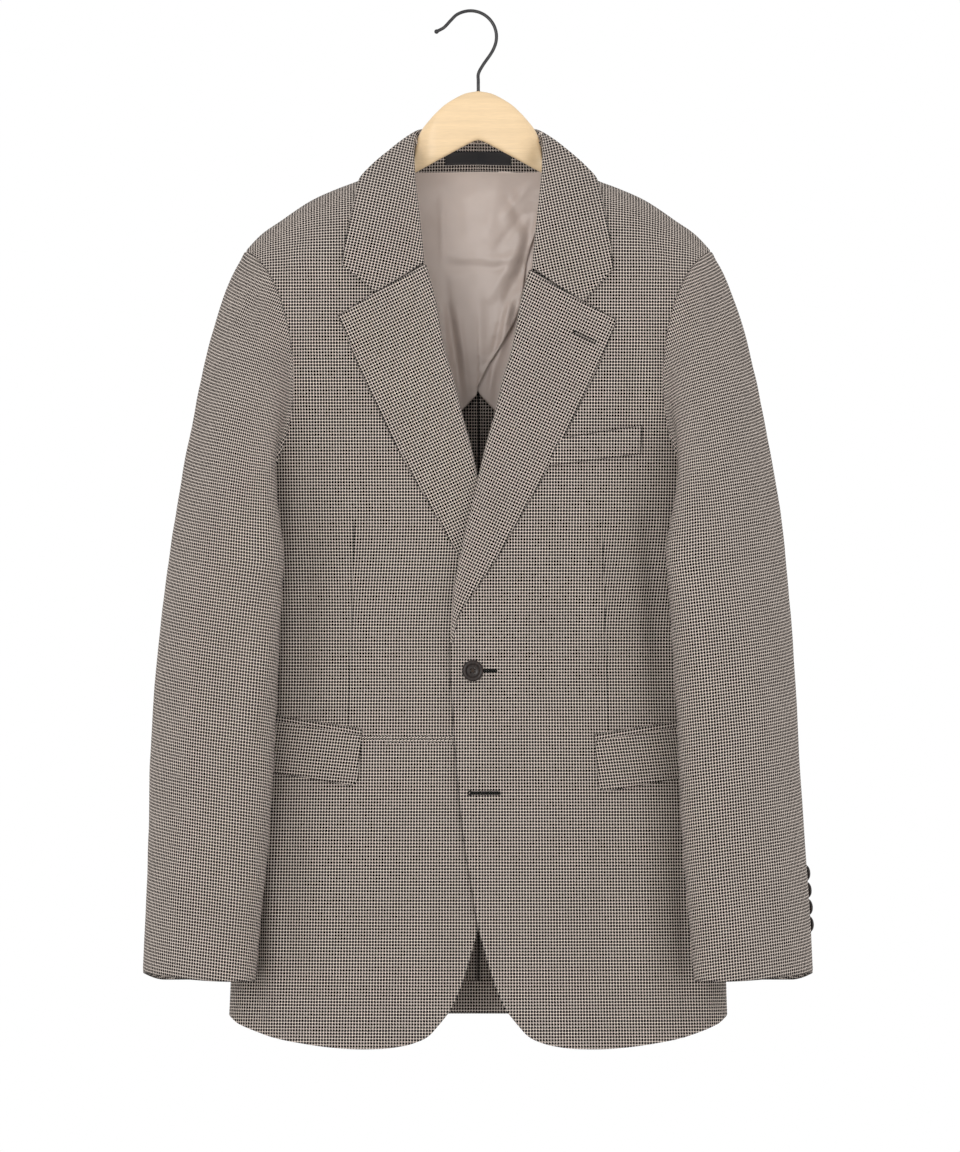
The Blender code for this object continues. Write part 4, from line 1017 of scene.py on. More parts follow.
# ---------------------------------------------------------------- sleeves
def oval(side, degrees, drop):
    """The sleeve's outer face at a level below the underarm."""
    name = "left" if side > 0 else "right"
    out_edge = SLEEVE_READ[f"{name}_out"](drop)
    in_edge = SLEEVE_READ[f"{name}_in"](drop)
    turn = math.radians(SLEEVE_READ["turn"](drop))
    half_thick = SLEEVE_READ["thick"](drop) / 2
    half_view = (out_edge - in_edge) / 2
    half_long = math.sqrt(half_view ** 2 - (half_thick * math.sin(turn)) ** 2) / math.cos(turn)
    angle = math.radians(degrees + SLEEVE_TWIST * math.sin(math.radians(degrees) / 2) ** 2) + turn
    along = half_long * math.cos(angle)
    through = half_thick * math.sin(angle)
    out = (out_edge + in_edge) / 2 + along * math.cos(turn) + through * math.sin(turn)
    depth = SLEEVE_READ["depth"](drop) + along * math.sin(turn) - through * math.cos(turn)
    return Vector((out, depth, drop))


@lru_cache(maxsize=None)
def armhole_frame(side, degrees):
    """A point of the armhole seam and the direction away from the body."""
    here = armhole(degrees % 360)
    point = body_point(side, *here)
    normal = body_normal(side, *here)
    ahead = body_point(side, *armhole((degrees + 2) % 360)) - body_point(side, *armhole((degrees - 2) % 360))
    away = normal.cross(ahead).normalized()
    if away.x < 0:
        away.negate()
    return point, away


def sleeve_point(side, degrees, share):
    """share runs down the sleeve from the armhole to the cuff."""
    cuff = CUFF_DROP - CUFF_RISE * max(0.0, math.cos(math.radians(degrees))) ** 2
    if share >= CAP_SHARE:
        return oval(side, degrees, mix(SLEEVE_TOP_DROP, cuff, (share - CAP_SHARE) / (1 - CAP_SHARE)))
    start, away = armhole_frame(side, round(degrees, 6))
    start = start - away * SET_IN
    end = oval(side, degrees, SLEEVE_TOP_DROP)
    chord = (end - start).length
    forward = math.sin(math.radians(degrees))
    under = max(0.0, -math.cos(math.radians(degrees)))
    spring = Vector((0.75 + 1.6 * under, -0.55 * forward - 0.25 * under, 0.75 - 0.2 * under))
    spring *= CAP_REACH * chord
    below = oval(side, degrees, SLEEVE_TOP_DROP + 1) - end
    return hermite(start, spring, end, below * chord, share / CAP_SHARE)


SLEEVE_ROWS = 152       # a multiple of 19, so that one row lies at the underarm
SLEEVE_COLUMNS = 52
RING = round(SLEEVE_ROWS * CAP_SHARE)
SLEEVE_GIRTH = 150.0    # cloth round half the sleeve
SLEEVE_LENGTH = 660.0
HEAD_RISE = 1.3         # how much fuller a sleeve's head is close to its seam
HEAD_DOWN = 5           # and how far below the seam
HEAD_WIDTH = 8
SLEEVE_LEAN = 0.15      # how far the rows of checks fall towards the body


@lru_cache(maxsize=None)
def cloth_round(side, first, row):
    """Cloth from the middle of a sleeve piece to each of its columns, along one row."""
    def at(column):
        return sleeve_point(side, first + 180 * graded(column / SLEEVE_COLUMNS), row / SLEEVE_ROWS)

    places = [at(column) for column in range(SLEEVE_COLUMNS + 1)]
    run = [0.0]
    for before, here in zip(places, places[1:]):
        run.append(run[-1] + (here - before).length)
    return [length - run[SLEEVE_COLUMNS // 2] for length in run]


@lru_cache(maxsize=None)
def sleeve_column(side, first, column):
    """Places down one line of the sleeve and their places in the flat cloth."""
    def at(share, row):
        return sleeve_point(side, first + 180 * share, row / SLEEVE_ROWS)

    c = graded(column / SLEEVE_COLUMNS)
    points = [at(c, row) for row in range(SLEEVE_ROWS + 1)]
    ring = (at(c + 0.01, RING) - at(c - 0.01, RING)).normalized()
    flat = [None] * len(points)
    flat[RING] = Vector((cloth_round(side, first, RING)[column], 0.0))
    for row in range(RING, 0, -1):
        step = points[row - 1] - points[row]
        sideways = step.dot(ring)
        up = math.sqrt(max(step.length_squared - sideways ** 2, 0.0))
        flat[row - 1] = flat[row] + Vector((sideways, up))
    for row in range(RING, SLEEVE_ROWS):
        down = (points[row + 1] - points[row]).length
        flat[row + 1] = Vector((cloth_round(side, first, row + 1)[column], flat[row].y - down))
    return points, flat


def make_sleeve_piece(name, side, first):
    def line(c):
        return sleeve_column(side, first, round(c * SLEEVE_COLUMNS))

    def surface(c, r):
        return to_world(side, line(c)[0][round(r * SLEEVE_ROWS)])

    def facing(place):
        _, drop = from_world(place)
        depth = SLEEVE_READ["depth"](drop)
        out = side * (SLEEVE_READ["left_out"](drop) + SLEEVE_READ["left_in"](drop)) / 2
        return Vector((place.x - (CENTRE_X + out) * MM, place.y - depth * MM, 0))

    def relief(c, r, place, normal):
        u, drop = from_world(place)
        fade = ease(r / 0.06) * (0.35 + 0.65 * ease((1 - r) / 0.12))
        creases = (crease_height(SLEEVE_FRONT_CREASES, u, drop) * max(0.0, -normal.y) ** 0.5
                   + crease_height(SLEEVE_BACK_CREASES, u, drop) * max(0.0, normal.y) ** 0.5)
        creases *= bpy.context.scene.jacket.crease_strength
        head = -pressed(r * SLEEVE_LENGTH - HEAD_DOWN, HEAD_RISE, HEAD_WIDTH)
        return (creases + rumple(place, 46.0, 0.6)) * fade + head

    def edges(c, r):
        from_seam = graded(c) * SLEEVE_GIRTH
        return from_seam, SLEEVE_GIRTH - from_seam, (1 - r) * SLEEVE_LENGTH, r * SLEEVE_LENGTH

    def chart(c, r):
        flat = line(c)[1][round(r * SLEEVE_ROWS)]
        return side * flat.x, flat.y + SLEEVE_LEAN * flat.x

    make_cloth(name + "_cloth", surface, Lay(SLEEVE_COLUMNS, SLEEVE_ROWS, even, even), relief, chart,
               facing, LINED, edges=edges, turned_in=lambda c, r: r > 0.94 or r < ARMHOLE_FACED)


class JACKET_OT_sleeves(bpy.types.Operator):
    """Two-piece sleeves, set into the armholes"""
    bl_idname = "jacket.sleeves"
    bl_label = "Sleeves"

    def execute(self, context):
        for side_name, side in SIDES.items():
            make_sleeve_piece(f"top_sleeve_{side_name}", side, HIND_SEAM)
            make_sleeve_piece(f"under_sleeve_{side_name}", side, HIND_SEAM + 180)
        return {"FINISHED"}


# ---------------------------------------------------------------- lapels and collar
LAPEL_COLUMNS = 72
NOTCH_COLUMN = 54
ROLL_SHARE = 0.11       # share of the lapel's columns that turn over at the roll
LAPEL_GRAIN = 25.0
LAPEL_WALL = 1.8
LAPEL_END = {"left": BREAK - 4, "right": 512.0}
LAPEL_INSET = 2.6       # the roll stands so far inside the front's edge
LAPEL_LOW = 0.6         # height of the roll where the lapel has flattened out
LAPEL_BELLY = 0.9


def make_lapel(side_name):
    """From the front's inner edge the cloth rolls over and lies on the front out to its edge."""
    side = SIDES[side_name]
    last_drop = LAPEL_END[side_name]
    top_drop = LAPEL_TOP[side_name]
    tip_drop = LAPEL_TIP_DROP[side_name]
    notch = NOTCH[side_name]

    def run(r):
        roll_drop = mix(top_drop, last_drop, r)
        edge_drop = mix(tip_drop, last_drop + 1, r)
        roll = Point(roll_drop, inner_out(roll_drop) - LAPEL_INSET)
        edge = Point(edge_drop, max(lapel_edge_out(edge_drop), inner_out(edge_drop) + 3.5))
        return roll, edge

    def flat_place(c, r):
        roll, edge = run(r)
        notch_share = (notch.out - roll.out) / (edge.out - roll.out)
        drop = mix(roll.drop, edge.drop, c)
        bend = notch.drop + 0.6 - mix(top_drop, tip_drop, notch_share)
        drop += bend * (1 - abs(c - notch_share) / max(notch_share, 1 - notch_share)) * (1 - r) ** 6
        return mix(roll.out, edge.out, c), drop

    def vanish(r):
        """The lapel's lower end flattens out and becomes one with the front's edge."""
        return ease((r - 0.84) / 0.14)

    def surface(c, r):
        gone = vanish(r)
        standing = mix(mix(LAPEL_ROLL, LAPEL_ROLL_LOW, ease(r / 0.75)), LAPEL_LOW, gone)
        if c < ROLL_SHARE:
            out, drop = flat_place(0.0, r)
            angle = math.pi * (c / ROLL_SHARE - 0.5)
            radius = standing / 2
            out += radius * (1 - math.cos(angle)) + LAPEL_INSET * gone
            return to_world(side, on_front(side, out, drop, radius * (1 + math.sin(angle))))
        t = leaf(c)
        out, drop = flat_place(t, r)
        width = run(r)[1].out - run(r)[0].out
        out += standing / 2 * (1 - t) ** 4 + LAPEL_INSET * gone * (1 - t)
        lying = mix(LAPEL_WALL + CLEAR, 0.5, gone)
        height = lying + (standing - lying) * (1 - ease(t / 0.85))
        height += LAPEL_BELLY * math.sin(math.pi * min(t * 1.3, 1.0)) * min(width / 60, 1.0) * (1 - gone)
        return to_world(side, on_front(side, out, drop, height))

    first = run(0.0)
    notch_share = (notch.out - first[0].out) / (first[1].out - first[0].out)
    notch_column = (NOTCH_COLUMN / LAPEL_COLUMNS - ROLL_SHARE) / (1 - ROLL_SHARE)
    power = math.log(notch_share) / math.log(notch_column)

    def leaf(c):
        """The share of the leaf's width that lies between the roll and a column."""
        return (max(c - ROLL_SHARE, 0.0) / (1 - ROLL_SHARE)) ** power

    def relief(c, r, place, normal):
        u, drop = from_world(place)
        width = run(r)[1].out - run(r)[0].out
        inside = ease((c - ROLL_SHARE) / 0.05) * min(width / 30, 1.0)
        return (crease_height(LAPEL_CREASES, u, drop) + rumple(place, 44.0, 0.5)) * inside

    def edges(c, r):
        roll, edge = run(r)
        return (1 - leaf(c)) * (edge.out - roll.out), r * 300

    def chart(c, r):
        out, drop = flat_place(leaf(c), r)
        rolled = max(ROLL_SHARE - c, 0.0) / ROLL_SHARE * LAPEL_ROLL * 1.57
        return side * (out - rolled), -drop

    make_cloth(f"lapel_{side_name}_cloth", surface, Lay(LAPEL_COLUMNS, 150, even, even), relief, chart,
               wall=LAPEL_WALL, held="folded", rests_on=(f"front_{side_name}_cloth",),
               grain=side * LAPEL_GRAIN, edges=edges, thin=lambda c, r: 1 - 0.9 * vanish(r))


class JACKET_OT_lapels(bpy.types.Operator):
    """Notch lapels, rolled over and lying on the fronts"""
    bl_idname = "jacket.lapels"
    bl_label = "Lapels"

    def execute(self, context):
        for side_name in SIDES:
            make_lapel(side_name)
        return {"FINISHED"}


def table_curve(rows, value):
    return smooth([Point(i, getattr(row, value)) for i, row in enumerate(rows)], "out")


FOLD_READ = [table_curve(COLLAR_FOLD, value) for value in Edge._fields]
EDGE_READ = {value: table_curve(COLLAR_EDGE, value) for value in ("out", "drop")}
CREST = 2.3             # radius of the turn at the collar's fold
STAND = 13.5            # height of the stand inside the back neck
STAND_END = 4.0
STAND_SHARE = 0.30      # share of the collar's rows in the stand
CREST_SHARE = 0.10      # and in the turn over the fold
GORGE_SHARE = 4 / 6     # share of the collar's front end that lies along the gorge
RIDGE_PLACE = 4         # where COLLAR_EDGE crosses the shoulder seam
END_FROM = 0.55         # from this share on the leaf is drawn to its front end


def fold_point(share):
    place = share * (len(COLLAR_FOLD) - 1)
    return Vector([read(place) for read in FOLD_READ])


@lru_cache(maxsize=None)
def collar_rest(share):
    """Where the collar's outer edge lies on the cloth."""
    place = share * (len(COLLAR_EDGE) - 1)
    out = EDGE_READ["out"](place)
    drop = max(EDGE_READ["drop"](place), shoulder_drop(out))
    ridge_share = RIDGE_PLACE / (len(COLLAR_EDGE) - 1)
    height = COLLAR_WALL + CLEAR + 0.9 + 1.8 * math.exp(-((share - ridge_share) / 0.09) ** 2)
    return on_back(1, out, drop, height) if share < ridge_share else on_front(1, out, drop, height)


def collar_end(side_name, r):
    """The collar's front end: along the gorge to the notch and out to the corner."""
    gorge = Point(LAPEL_TOP[side_name] - 1.6, fold_point(1).x)
    notch = Point(NOTCH[side_name].drop - 0.8, NOTCH[side_name].out)
    if r <= GORGE_SHARE:
        start, end, t = gorge, notch, r / GORGE_SHARE
    else:
        start, end, t = notch, COLLAR_CORNER[side_name], (r - GORGE_SHARE) / (1 - GORGE_SHARE)
    return Point(mix(start.drop, end.drop, t), mix(start.out, end.out, t))


def collar_shift(side_name, share, r):
    """How far the leaf is drawn sideways and down to meet its front end."""
    near_end = ease((share - END_FROM) / (1 - END_FROM)) ** 3
    end = collar_end(side_name, r)
    straight = fold_point(share).lerp(collar_rest(share), r)
    return near_end * (end.out - straight.x), near_end * (end.drop - straight.z)


@lru_cache(maxsize=None)
def collar_leaf(side_name, share, r):
    """The turned-down part, from the fold to the outer edge, on one half."""
    fold = fold_point(share)
    rest = collar_rest(share)
    high = Vector((mix(fold.x, rest.x, 0.42), mix(fold.y, rest.y, 0.8), mix(fold.z, rest.z, 0.12)))
    point = fold * (1 - r) ** 2 + high * 2 * r * (1 - r) + rest * r * r
    near_end = ease((share - END_FROM) / (1 - END_FROM))
    if near_end > 0:
        sideways, down = collar_shift(side_name, share, r)
        out = point.x + sideways
        drop = point.z + down
        height = mix(5.2, COLLAR_WALL + CLEAR + 0.6, ease(r)) + 1.2 * math.sin(math.pi * r)
        point = Vector((out, mix(point.y, on_front(1, out, drop, height).y, near_end), drop))
    return point


@lru_cache(maxsize=None)
def crest_frame(side_name, share):
    """At the fold: the leaf's first direction and the crest's outward direction."""
    along = (fold_point(min(share + 0.01, 1.0)) - fold_point(max(share - 0.01, 0.0))).normalized()
    leaf = collar_leaf(side_name, share, 0.04) - collar_leaf(side_name, share, 0.0)
    leaf = (leaf - along * leaf.dot(along)).normalized()
    up = leaf.cross(along).normalized()
    if up.dot(Vector((0, -0.7 * share, -1))) < 0:
        up.negate()
    return leaf, up


def collar_half(c):
    return ("left" if c >= 0.5 else "right"), round(abs(2 * c - 1), 9)


def leaf_share(r):
    return max(r - STAND_SHARE - CREST_SHARE, 0.0) / (1 - STAND_SHARE - CREST_SHARE)


def collar_surface(c, r):
    side_name, share = collar_half(c)
    leaf, up = crest_frame(side_name, share)
    fold = collar_leaf(side_name, share, 0.0)
    t = leaf_share(r)
    if r < STAND_SHARE:
        height = mix(STAND, STAND_END, ease(share / 0.8))
        foot = 1 - r / STAND_SHARE
        point = fold - up * (CREST + height * foot)
        point += leaf * height * foot * 0.35 * ease((share - 0.3) / 0.3)
    elif t <= 0:
        angle = math.pi / 2 * (1 - (r - STAND_SHARE) / CREST_SHARE)
        point = fold - up * CREST + up * math.cos(angle) * CREST + leaf * (1 - math.sin(angle)) * CREST
    else:
        point = collar_leaf(side_name, share, round(t, 9)) + leaf * CREST * (1 - t) ** 4
    if side_name == "right":
        point = Vector((-point.x, point.y, point.z))
    return to_world(1, point)


COLLAR_HALF = 75        # columns of the collar's grid on each side
COLLAR_FLAT_FROM = 30   # from this one on it lies flat on the shoulder and the front
COLLAR_GRAIN = 13.0     # there its cloth leans outward, degrees
COLLAR_BACK = 75.0      # cloth along the fold from the centre back to that column
COLLAR_SPREAD = 30.0    # so much more along the outer edge
COLLAR_TURN_FROM = 12   # from this column on the cloth turns towards that lean
STAND_CLOTH = 20.0
COLLAR_LENGTH = 250.0   # from the centre back to one end
COLLAR_DEPTHS = (62, 78)                        # of the leaf, at the centre back and at its ends
BACKS = ("back_left_cloth", "back_right_cloth")


def collar_flat(side_name, column, t):
    """The leaf's place in its flat cloth, along from the centre back and down from the stand's foot."""
    level = max(column, COLLAR_FLAT_FROM)
    origin = collar_leaf(side_name, COLLAR_FLAT_FROM / COLLAR_HALF, 0.0)
    point = collar_leaf(side_name, level / COLLAR_HALF, t) - origin
    lean = math.radians(COLLAR_GRAIN)
    along = point.x * math.sin(lean) + point.z * math.cos(lean) + COLLAR_BACK
    down = point.x * math.cos(lean) - point.z * math.sin(lean) + STAND_CLOTH
    share = column / COLLAR_HALF
    leaf = (collar_leaf(side_name, share, t) - collar_leaf(side_name, share, 0.0)).length + STAND_CLOTH
    behind = column / COLLAR_FLAT_FROM * (COLLAR_BACK + COLLAR_SPREAD * t)
    turned = ease((column - COLLAR_TURN_FROM) / (COLLAR_FLAT_FROM - COLLAR_TURN_FROM))
    return mix(behind, along, turned), mix(leaf, down, turned)


def collar_chart(c, r):
    side_name, share = collar_half(c)
    along, down = collar_flat(side_name, round(share * COLLAR_HALF), round(leaf_share(r), 9))
    stand = 1 - min(r / (STAND_SHARE + CREST_SHARE), 1.0)
    return (1 if side_name == "left" else -1) * along, STAND_CLOTH * stand - down


class JACKET_OT_collar(bpy.types.Operator):
    """Collar with its stand, from the back neck round to the notches"""
    bl_idname = "jacket.collar"
    bl_label = "Collar"

    def execute(self, context):
        def relief(c, r, place, normal):
            return rumple(place, 44.0, 0.5) * ease(leaf_share(r) / 0.2)

        def edges(c, r):
            share = abs(2 * c - 1)
            return (1 - leaf_share(r)) * mix(*COLLAR_DEPTHS, share), (1 - share) * COLLAR_LENGTH

        make_cloth("collar_cloth", collar_surface, Lay(2 * COLLAR_HALF, 60, even, even), relief, collar_chart,
                   lambda place: Vector((place.x - CENTRE_X * MM, -0.01, 0.03)),
                   nodes=["collar", "collar_stand"], wall=COLLAR_WALL, held="folded",
                   rests_on=(*BACKS, "front_left_cloth", "front_right_cloth"), edges=edges)
        return {"FINISHED"}


# ---------------------------------------------------------------- pockets
def flap_line(side_name, out):
    return FLAP_DROP[side_name] - FLAP_SLOPE * (out - FLAP_INNER_OUT)


def rounded(x, y, corner_x, corner_y, radius):
    """Bends the square corner at (corner_x, corner_y) of a grid into a quarter circle."""
    a = (radius - (corner_x - x)) / radius
    b = (radius - (corner_y - y)) / radius
    if a <= 0 or b <= 0:
        return x, y
    a, b = a * math.sqrt(1 - b * b / 2), b * math.sqrt(1 - a * a / 2)
    return corner_x - (radius - a * radius), corner_y - (radius - b * radius)


FLAP_WALL = 1.6
FLAP_SLANT = 3.5        # how far the flap's inner end slants outward
JET_LOW = 0.42          # share of the jet's strip on each side of its fold


def make_flap(side_name):
    side = SIDES[side_name]
    width = FLAP_OUTER_OUT - FLAP_INNER_OUT
    on_this_front = {"rests_on": (f"front_{side_name}_cloth",)}

    def place_in_flap(c, r):
        x, y = c * width, r * FLAP_HEIGHT
        for radius in FLAP_CORNERS:
            x, y = rounded(width - x, y, width, FLAP_HEIGHT, radius)
        return x, y

    def surface(c, r):
        x, y = place_in_flap(c, r)
        out = FLAP_INNER_OUT + x + FLAP_SLANT * r * (1 - c)
        height = FLAP_WALL + CLEAR + 1.0 * math.sin(math.pi * r * 0.9) + 0.6 * r
        return to_world(side, on_front(side, out, flap_line(side_name, FLAP_INNER_OUT + x) + y, height))

    def chart(c, r):
        x, y = place_in_flap(c, r)
        return body_chart(side, *on_body(FLAP_INNER_OUT + x, flap_line(side_name, FLAP_INNER_OUT + x) + y))

    make_cloth(f"pocket_flap_{side_name}_cloth", surface, Lay(44, 26, graded, graded), rumpled(38.0, 0.5),
               chart, wall=FLAP_WALL, grain=side * FLAP_GRAIN, **on_this_front,
               edges=lambda c, r: (c * width, (1 - c) * width, (1 - r) * FLAP_HEIGHT, r * FLAP_HEIGHT))

    def jet_surface(c, r):
        """A strip folded in two, its fold along the pocket's mouth."""
        out = mix(FLAP_INNER_OUT - 1, FLAP_OUTER_OUT, c)
        angle = math.pi * clamped((r - JET_LOW) / (1 - 2 * JET_LOW))
        above = JET_HEIGHT * (max(JET_LOW - r, 0.0) + max(r - (1 - JET_LOW), 0.0)) / JET_LOW
        drop = flap_line(side_name, out) - above + JET_FOLD * math.sin(angle)
        return to_world(side, on_front(side, out, drop, 0.9 + JET_FOLD + JET_FOLD * math.cos(angle)))

    length = 2 * JET_HEIGHT + math.pi * JET_FOLD
    make_cloth(f"pocket_jet_{side_name}_cloth", jet_surface, Lay(44, 16, graded, even),
               lambda c, r, place, normal: 0.0, lambda c, r: (side * c * width, -length * r), wall=0.7,
               held="folded", edges=lambda c, r: (r * length, c * width, (1 - c) * width), **on_this_front)


WELT_LENGTH = 74.0
WELT_UNDER = 4.0        # how far its inner end goes under the lapel's edge


def make_welt():
    def spot(c, r):
        drop_outer = WELT_OUTER.drop + WELT_HEIGHT * r
        drop_inner = WELT_INNER.drop + WELT_HEIGHT * r
        inner = lapel_edge_out(drop_inner) - WELT_UNDER
        return mix(inner, WELT_OUTER.out - 1.5 * r, c), mix(drop_inner + 1.0, drop_outer, c)

    make_cloth("breast_welt_cloth", lambda c, r: to_world(1, on_front(1, *spot(c, r), FLAP_WALL + CLEAR)),
               Lay(40, 20, graded, graded), rumpled(34.0, 0.4),
               lambda c, r: body_chart(1, *on_body(*spot(c, r))),
               wall=FLAP_WALL, held="folded", rests_on=("front_left_cloth",),
               edges=lambda c, r: ((1 - c) * WELT_LENGTH, r * WELT_HEIGHT, (1 - r) * WELT_HEIGHT))


class JACKET_OT_pockets(bpy.types.Operator):
    """Breast pocket welt, and the flaps and jets of the side pockets"""
    bl_idname = "jacket.pockets"
    bl_label = "Pockets"

    def execute(self, context):
        for side_name in SIDES:
            make_flap(side_name)
        make_welt()
        return {"FINISHED"}


# ---------------------------------------------------------------- inside
LINING_SIDE = 158.0
LINING_TOP = 140.0
LINING_LOW = 340        # its hem at the centre
UNDER_LOW = 352         # and that of the under layer beyond the centre
UNDER_INNER = (-34, -6)                         # the under layer's inner edge, at its top and its hem
LINING_AIR = 1.4
LINING_AIR_LOW = 4.0
LAYER_AIR = 4.0         # the top layer hangs so much further from the back
LINING_CLEAR = 0.9      # least air between the lining and the back
TOP_LAYER_WIDTH = 190
LINING_HEM = table(Point, (340, -2), (357, 14), (366, 26), (392, 60), (414, 110), (420, 158))
FREE_EDGE = table(
    Point, (144, 70), (190, 54), (214, 46), (233, 42), (250, 40), (277, 33), (300, 19.5), (319, 8), (340, -2),
)
lining_hem = smooth(LINING_HEM, "drop", "out")
free_edge = smooth(FREE_EDGE, "out")


def make_lining_half(side_name, top_layer):
    """One half of the butterfly lining; the top layer crosses the centre to its free edge."""
    side = SIDES[side_name]

    def spot(c, r):
        """Sideways from the centre line towards this half's own sleeve, and drop."""
        inner_drop = mix(LINING_TOP, LINING_LOW, r)
        inner = -free_edge(inner_drop) if top_layer else mix(*UNDER_INNER, ease(r))
        out = mix(LINING_SIDE, inner, c)
        top = max(LINING_TOP, shoulder_drop(abs(out)) + 11)
        if top_layer and out < 0:
            return out, mix(mix(top, LINING_LOW, r), inner_drop, min(-out / max(-inner, 1e-6), 1.0))
        hem = lining_hem(out) if out > 0 else mix(LINING_LOW, UNDER_LOW, ease(-out / 30))
        return out, mix(top, hem, r)

    def air(c, r):
        """How far the lining hangs inside the back."""
        gap = mix(LINING_AIR, LINING_AIR_LOW, ease(r * 4)) + (LAYER_AIR * ease(r * 3) if top_layer else 0.0)
        return gap + 1.2 * ease(c * 3 - 2) if top_layer and spot(c, r)[0] < 0 else gap

    def surface(c, r):
        return to_world(side, on_back(side, *spot(c, r), -(CLOTH + air(c, r))))

    def relief(c, r, place, normal):
        u, drop = from_world(place)
        height = 2.2 * crease_height(LINING_CREASES, u, drop) + rumple(place, 26.0, 0.9)
        height += crease_height(LINING_HOLLOWS, u, drop)
        if top_layer:
            gather = math.sin(drop * 0.55) + 0.6 * math.sin(drop * 0.93 + 1)
            height += 0.35 * gather * ease((c - 0.86) / 0.14)
            height -= pressed((1 - c) * TOP_LAYER_WIDTH, 0.9, 2.2)
        return max(height, LINING_CLEAR - air(c, r))

    def chart(c, r):
        out, drop = spot(c, r)
        return side * out, -drop

    make_cloth(f"back_lining_{side_name}_cloth", surface, Lay(90, 90, even, even), relief, chart,
               finishes=("lining_satin",), wall=0.5, slot="lining", rests_on=BACKS)


STRIP_TOP = 6.6         # a strip keeps at least so far below the shoulder line


def make_strip(name, half, top_drop, bottom_drop, inward, lay, nodes=None, finish="houndstooth_wool",
               slot="houndstooth"):
    """A strip across the inside of the backs, `inward` millimetres from their outer face."""
    def spot(c, r):
        out = mix(-half, half, c)
        return out, mix(max(top_drop, shoulder_drop(abs(out)) + STRIP_TOP), bottom_drop, r)

    def chart(c, r):
        out, drop = spot(c, r)
        return out, -drop

    make_cloth(name, lambda c, r: to_world(1, on_back(1, *spot(c, r), -inward)), lay, rumpled(30.0, 0.35),
               chart, finishes=(finish,), nodes=nodes, wall=0.8, rests_on=BACKS, slot=slot,
               edges=lambda c, r: (c * 2 * half, (1 - c) * 2 * half, (1 - r) * (bottom_drop - top_drop)))


class JACKET_OT_inside(bpy.types.Operator):
    """Butterfly lining, back neck facing, bare label and turned-up hem"""
    bl_idname = "jacket.inside"
    bl_label = "Inside"

    def execute(self, context):
        make_lining_half("left", False)
        make_lining_half("right", True)
        make_strip("back_neck_facing_cloth", 57.5, 114.0, 141.0, 4.2, Lay(60, 14, graded, graded))
        make_strip("neck_label_cloth", 31.0, 121.4, 133.8, 5.4, Lay(40, 12, graded, graded),
                   finish="label_black", slot="label")
        make_strip("hem_turn_up_cloth", 150.0, 874.0, 903.0, 3.0, Lay(90, 12, graded, graded),
                   nodes=["back_hem_turn_up"])
        return {"FINISHED"}


# ---------------------------------------------------------------- buttons and buttonholes
Button = namedtuple("Button", "radius thick")
FRONT_SIZE = Button(9.5, 4.0)
LOWER_SIZE = Button(9.5, 2.6)
SLEEVE_SIZE = Button(7.5, 3.2)
HOLE_RADIUS = 0.09      # shares of the button's radius
HOLE_OUT = 0.17
BUTTON_PROFILE = (      # shares of the button's radius and thickness, from the middle round the rim
    (0, 0.36), (0.30, 0.36), (0.52, 0.42), (0.62, 0.62), (0.70, 0.92), (0.80, 1.0), (0.90, 0.94),
    (0.98, 0.72), (1.0, 0.5), (0.96, 0.24), (0.84, 0.06), (0.6, 0.0), (0, 0),
)
BUTTON_SEAT = 0.4       # how far a button sits off the cloth
MERGE = 0.00001


def evaluated(item):
    bpy.context.view_layer.update()
    return bpy.data.meshes.new_from_object(item.evaluated_get(bpy.context.evaluated_depsgraph_get()))


def button_blank(size):
    """A turned button with a rolled rim, a dished middle and four holes."""
    r, t = size
    bm = bmesh.new()
    verts = [bm.verts.new((x * r * MM, 0, z * t * MM)) for x, z in BUTTON_PROFILE]
    edges = [bm.edges.new(pair) for pair in zip(verts, verts[1:])]
    bmesh.ops.spin(bm, geom=verts + edges, cent=(0, 0, 0), axis=(0, 0, 1), angle=2 * math.pi, steps=40,
                   use_merge=True)
    bmesh.ops.remove_doubles(bm, verts=bm.verts[:], dist=MERGE)
    bmesh.ops.recalc_face_normals(bm, faces=bm.faces[:])
    drill = bmesh.new()
    for number in range(4):
        angle = math.pi / 4 + number * math.pi / 2
        move = Matrix.Translation(Vector((math.cos(angle), math.sin(angle), 0)) * HOLE_OUT * 1.414 * r * MM)
        bmesh.ops.create_cone(drill, cap_ends=True, segments=14, radius1=HOLE_RADIUS * r * MM,
                              radius2=HOLE_RADIUS * r * MM, depth=4 * t * MM, matrix=move)
    body = linked("blank", mesh_from(bm, "blank"))
    cutter = linked("drill", mesh_from(drill, "drill"))
    cut = body.modifiers.new("holes", "BOOLEAN")
    cut.operation = "DIFFERENCE"
    cut.object = cutter
    drilled = evaluated(body)
    for item in (body, cutter):
        bpy.data.objects.remove(item)
    return drilled


def facing_frame(place, outward, across):
    """A matrix whose z points outward and whose x lies near `across`."""
    z = outward.normalized()
    y = z.cross(across).normalized()
    return Matrix.Translation(place) @ Matrix((y.cross(z), y, z)).transposed().to_4x4()


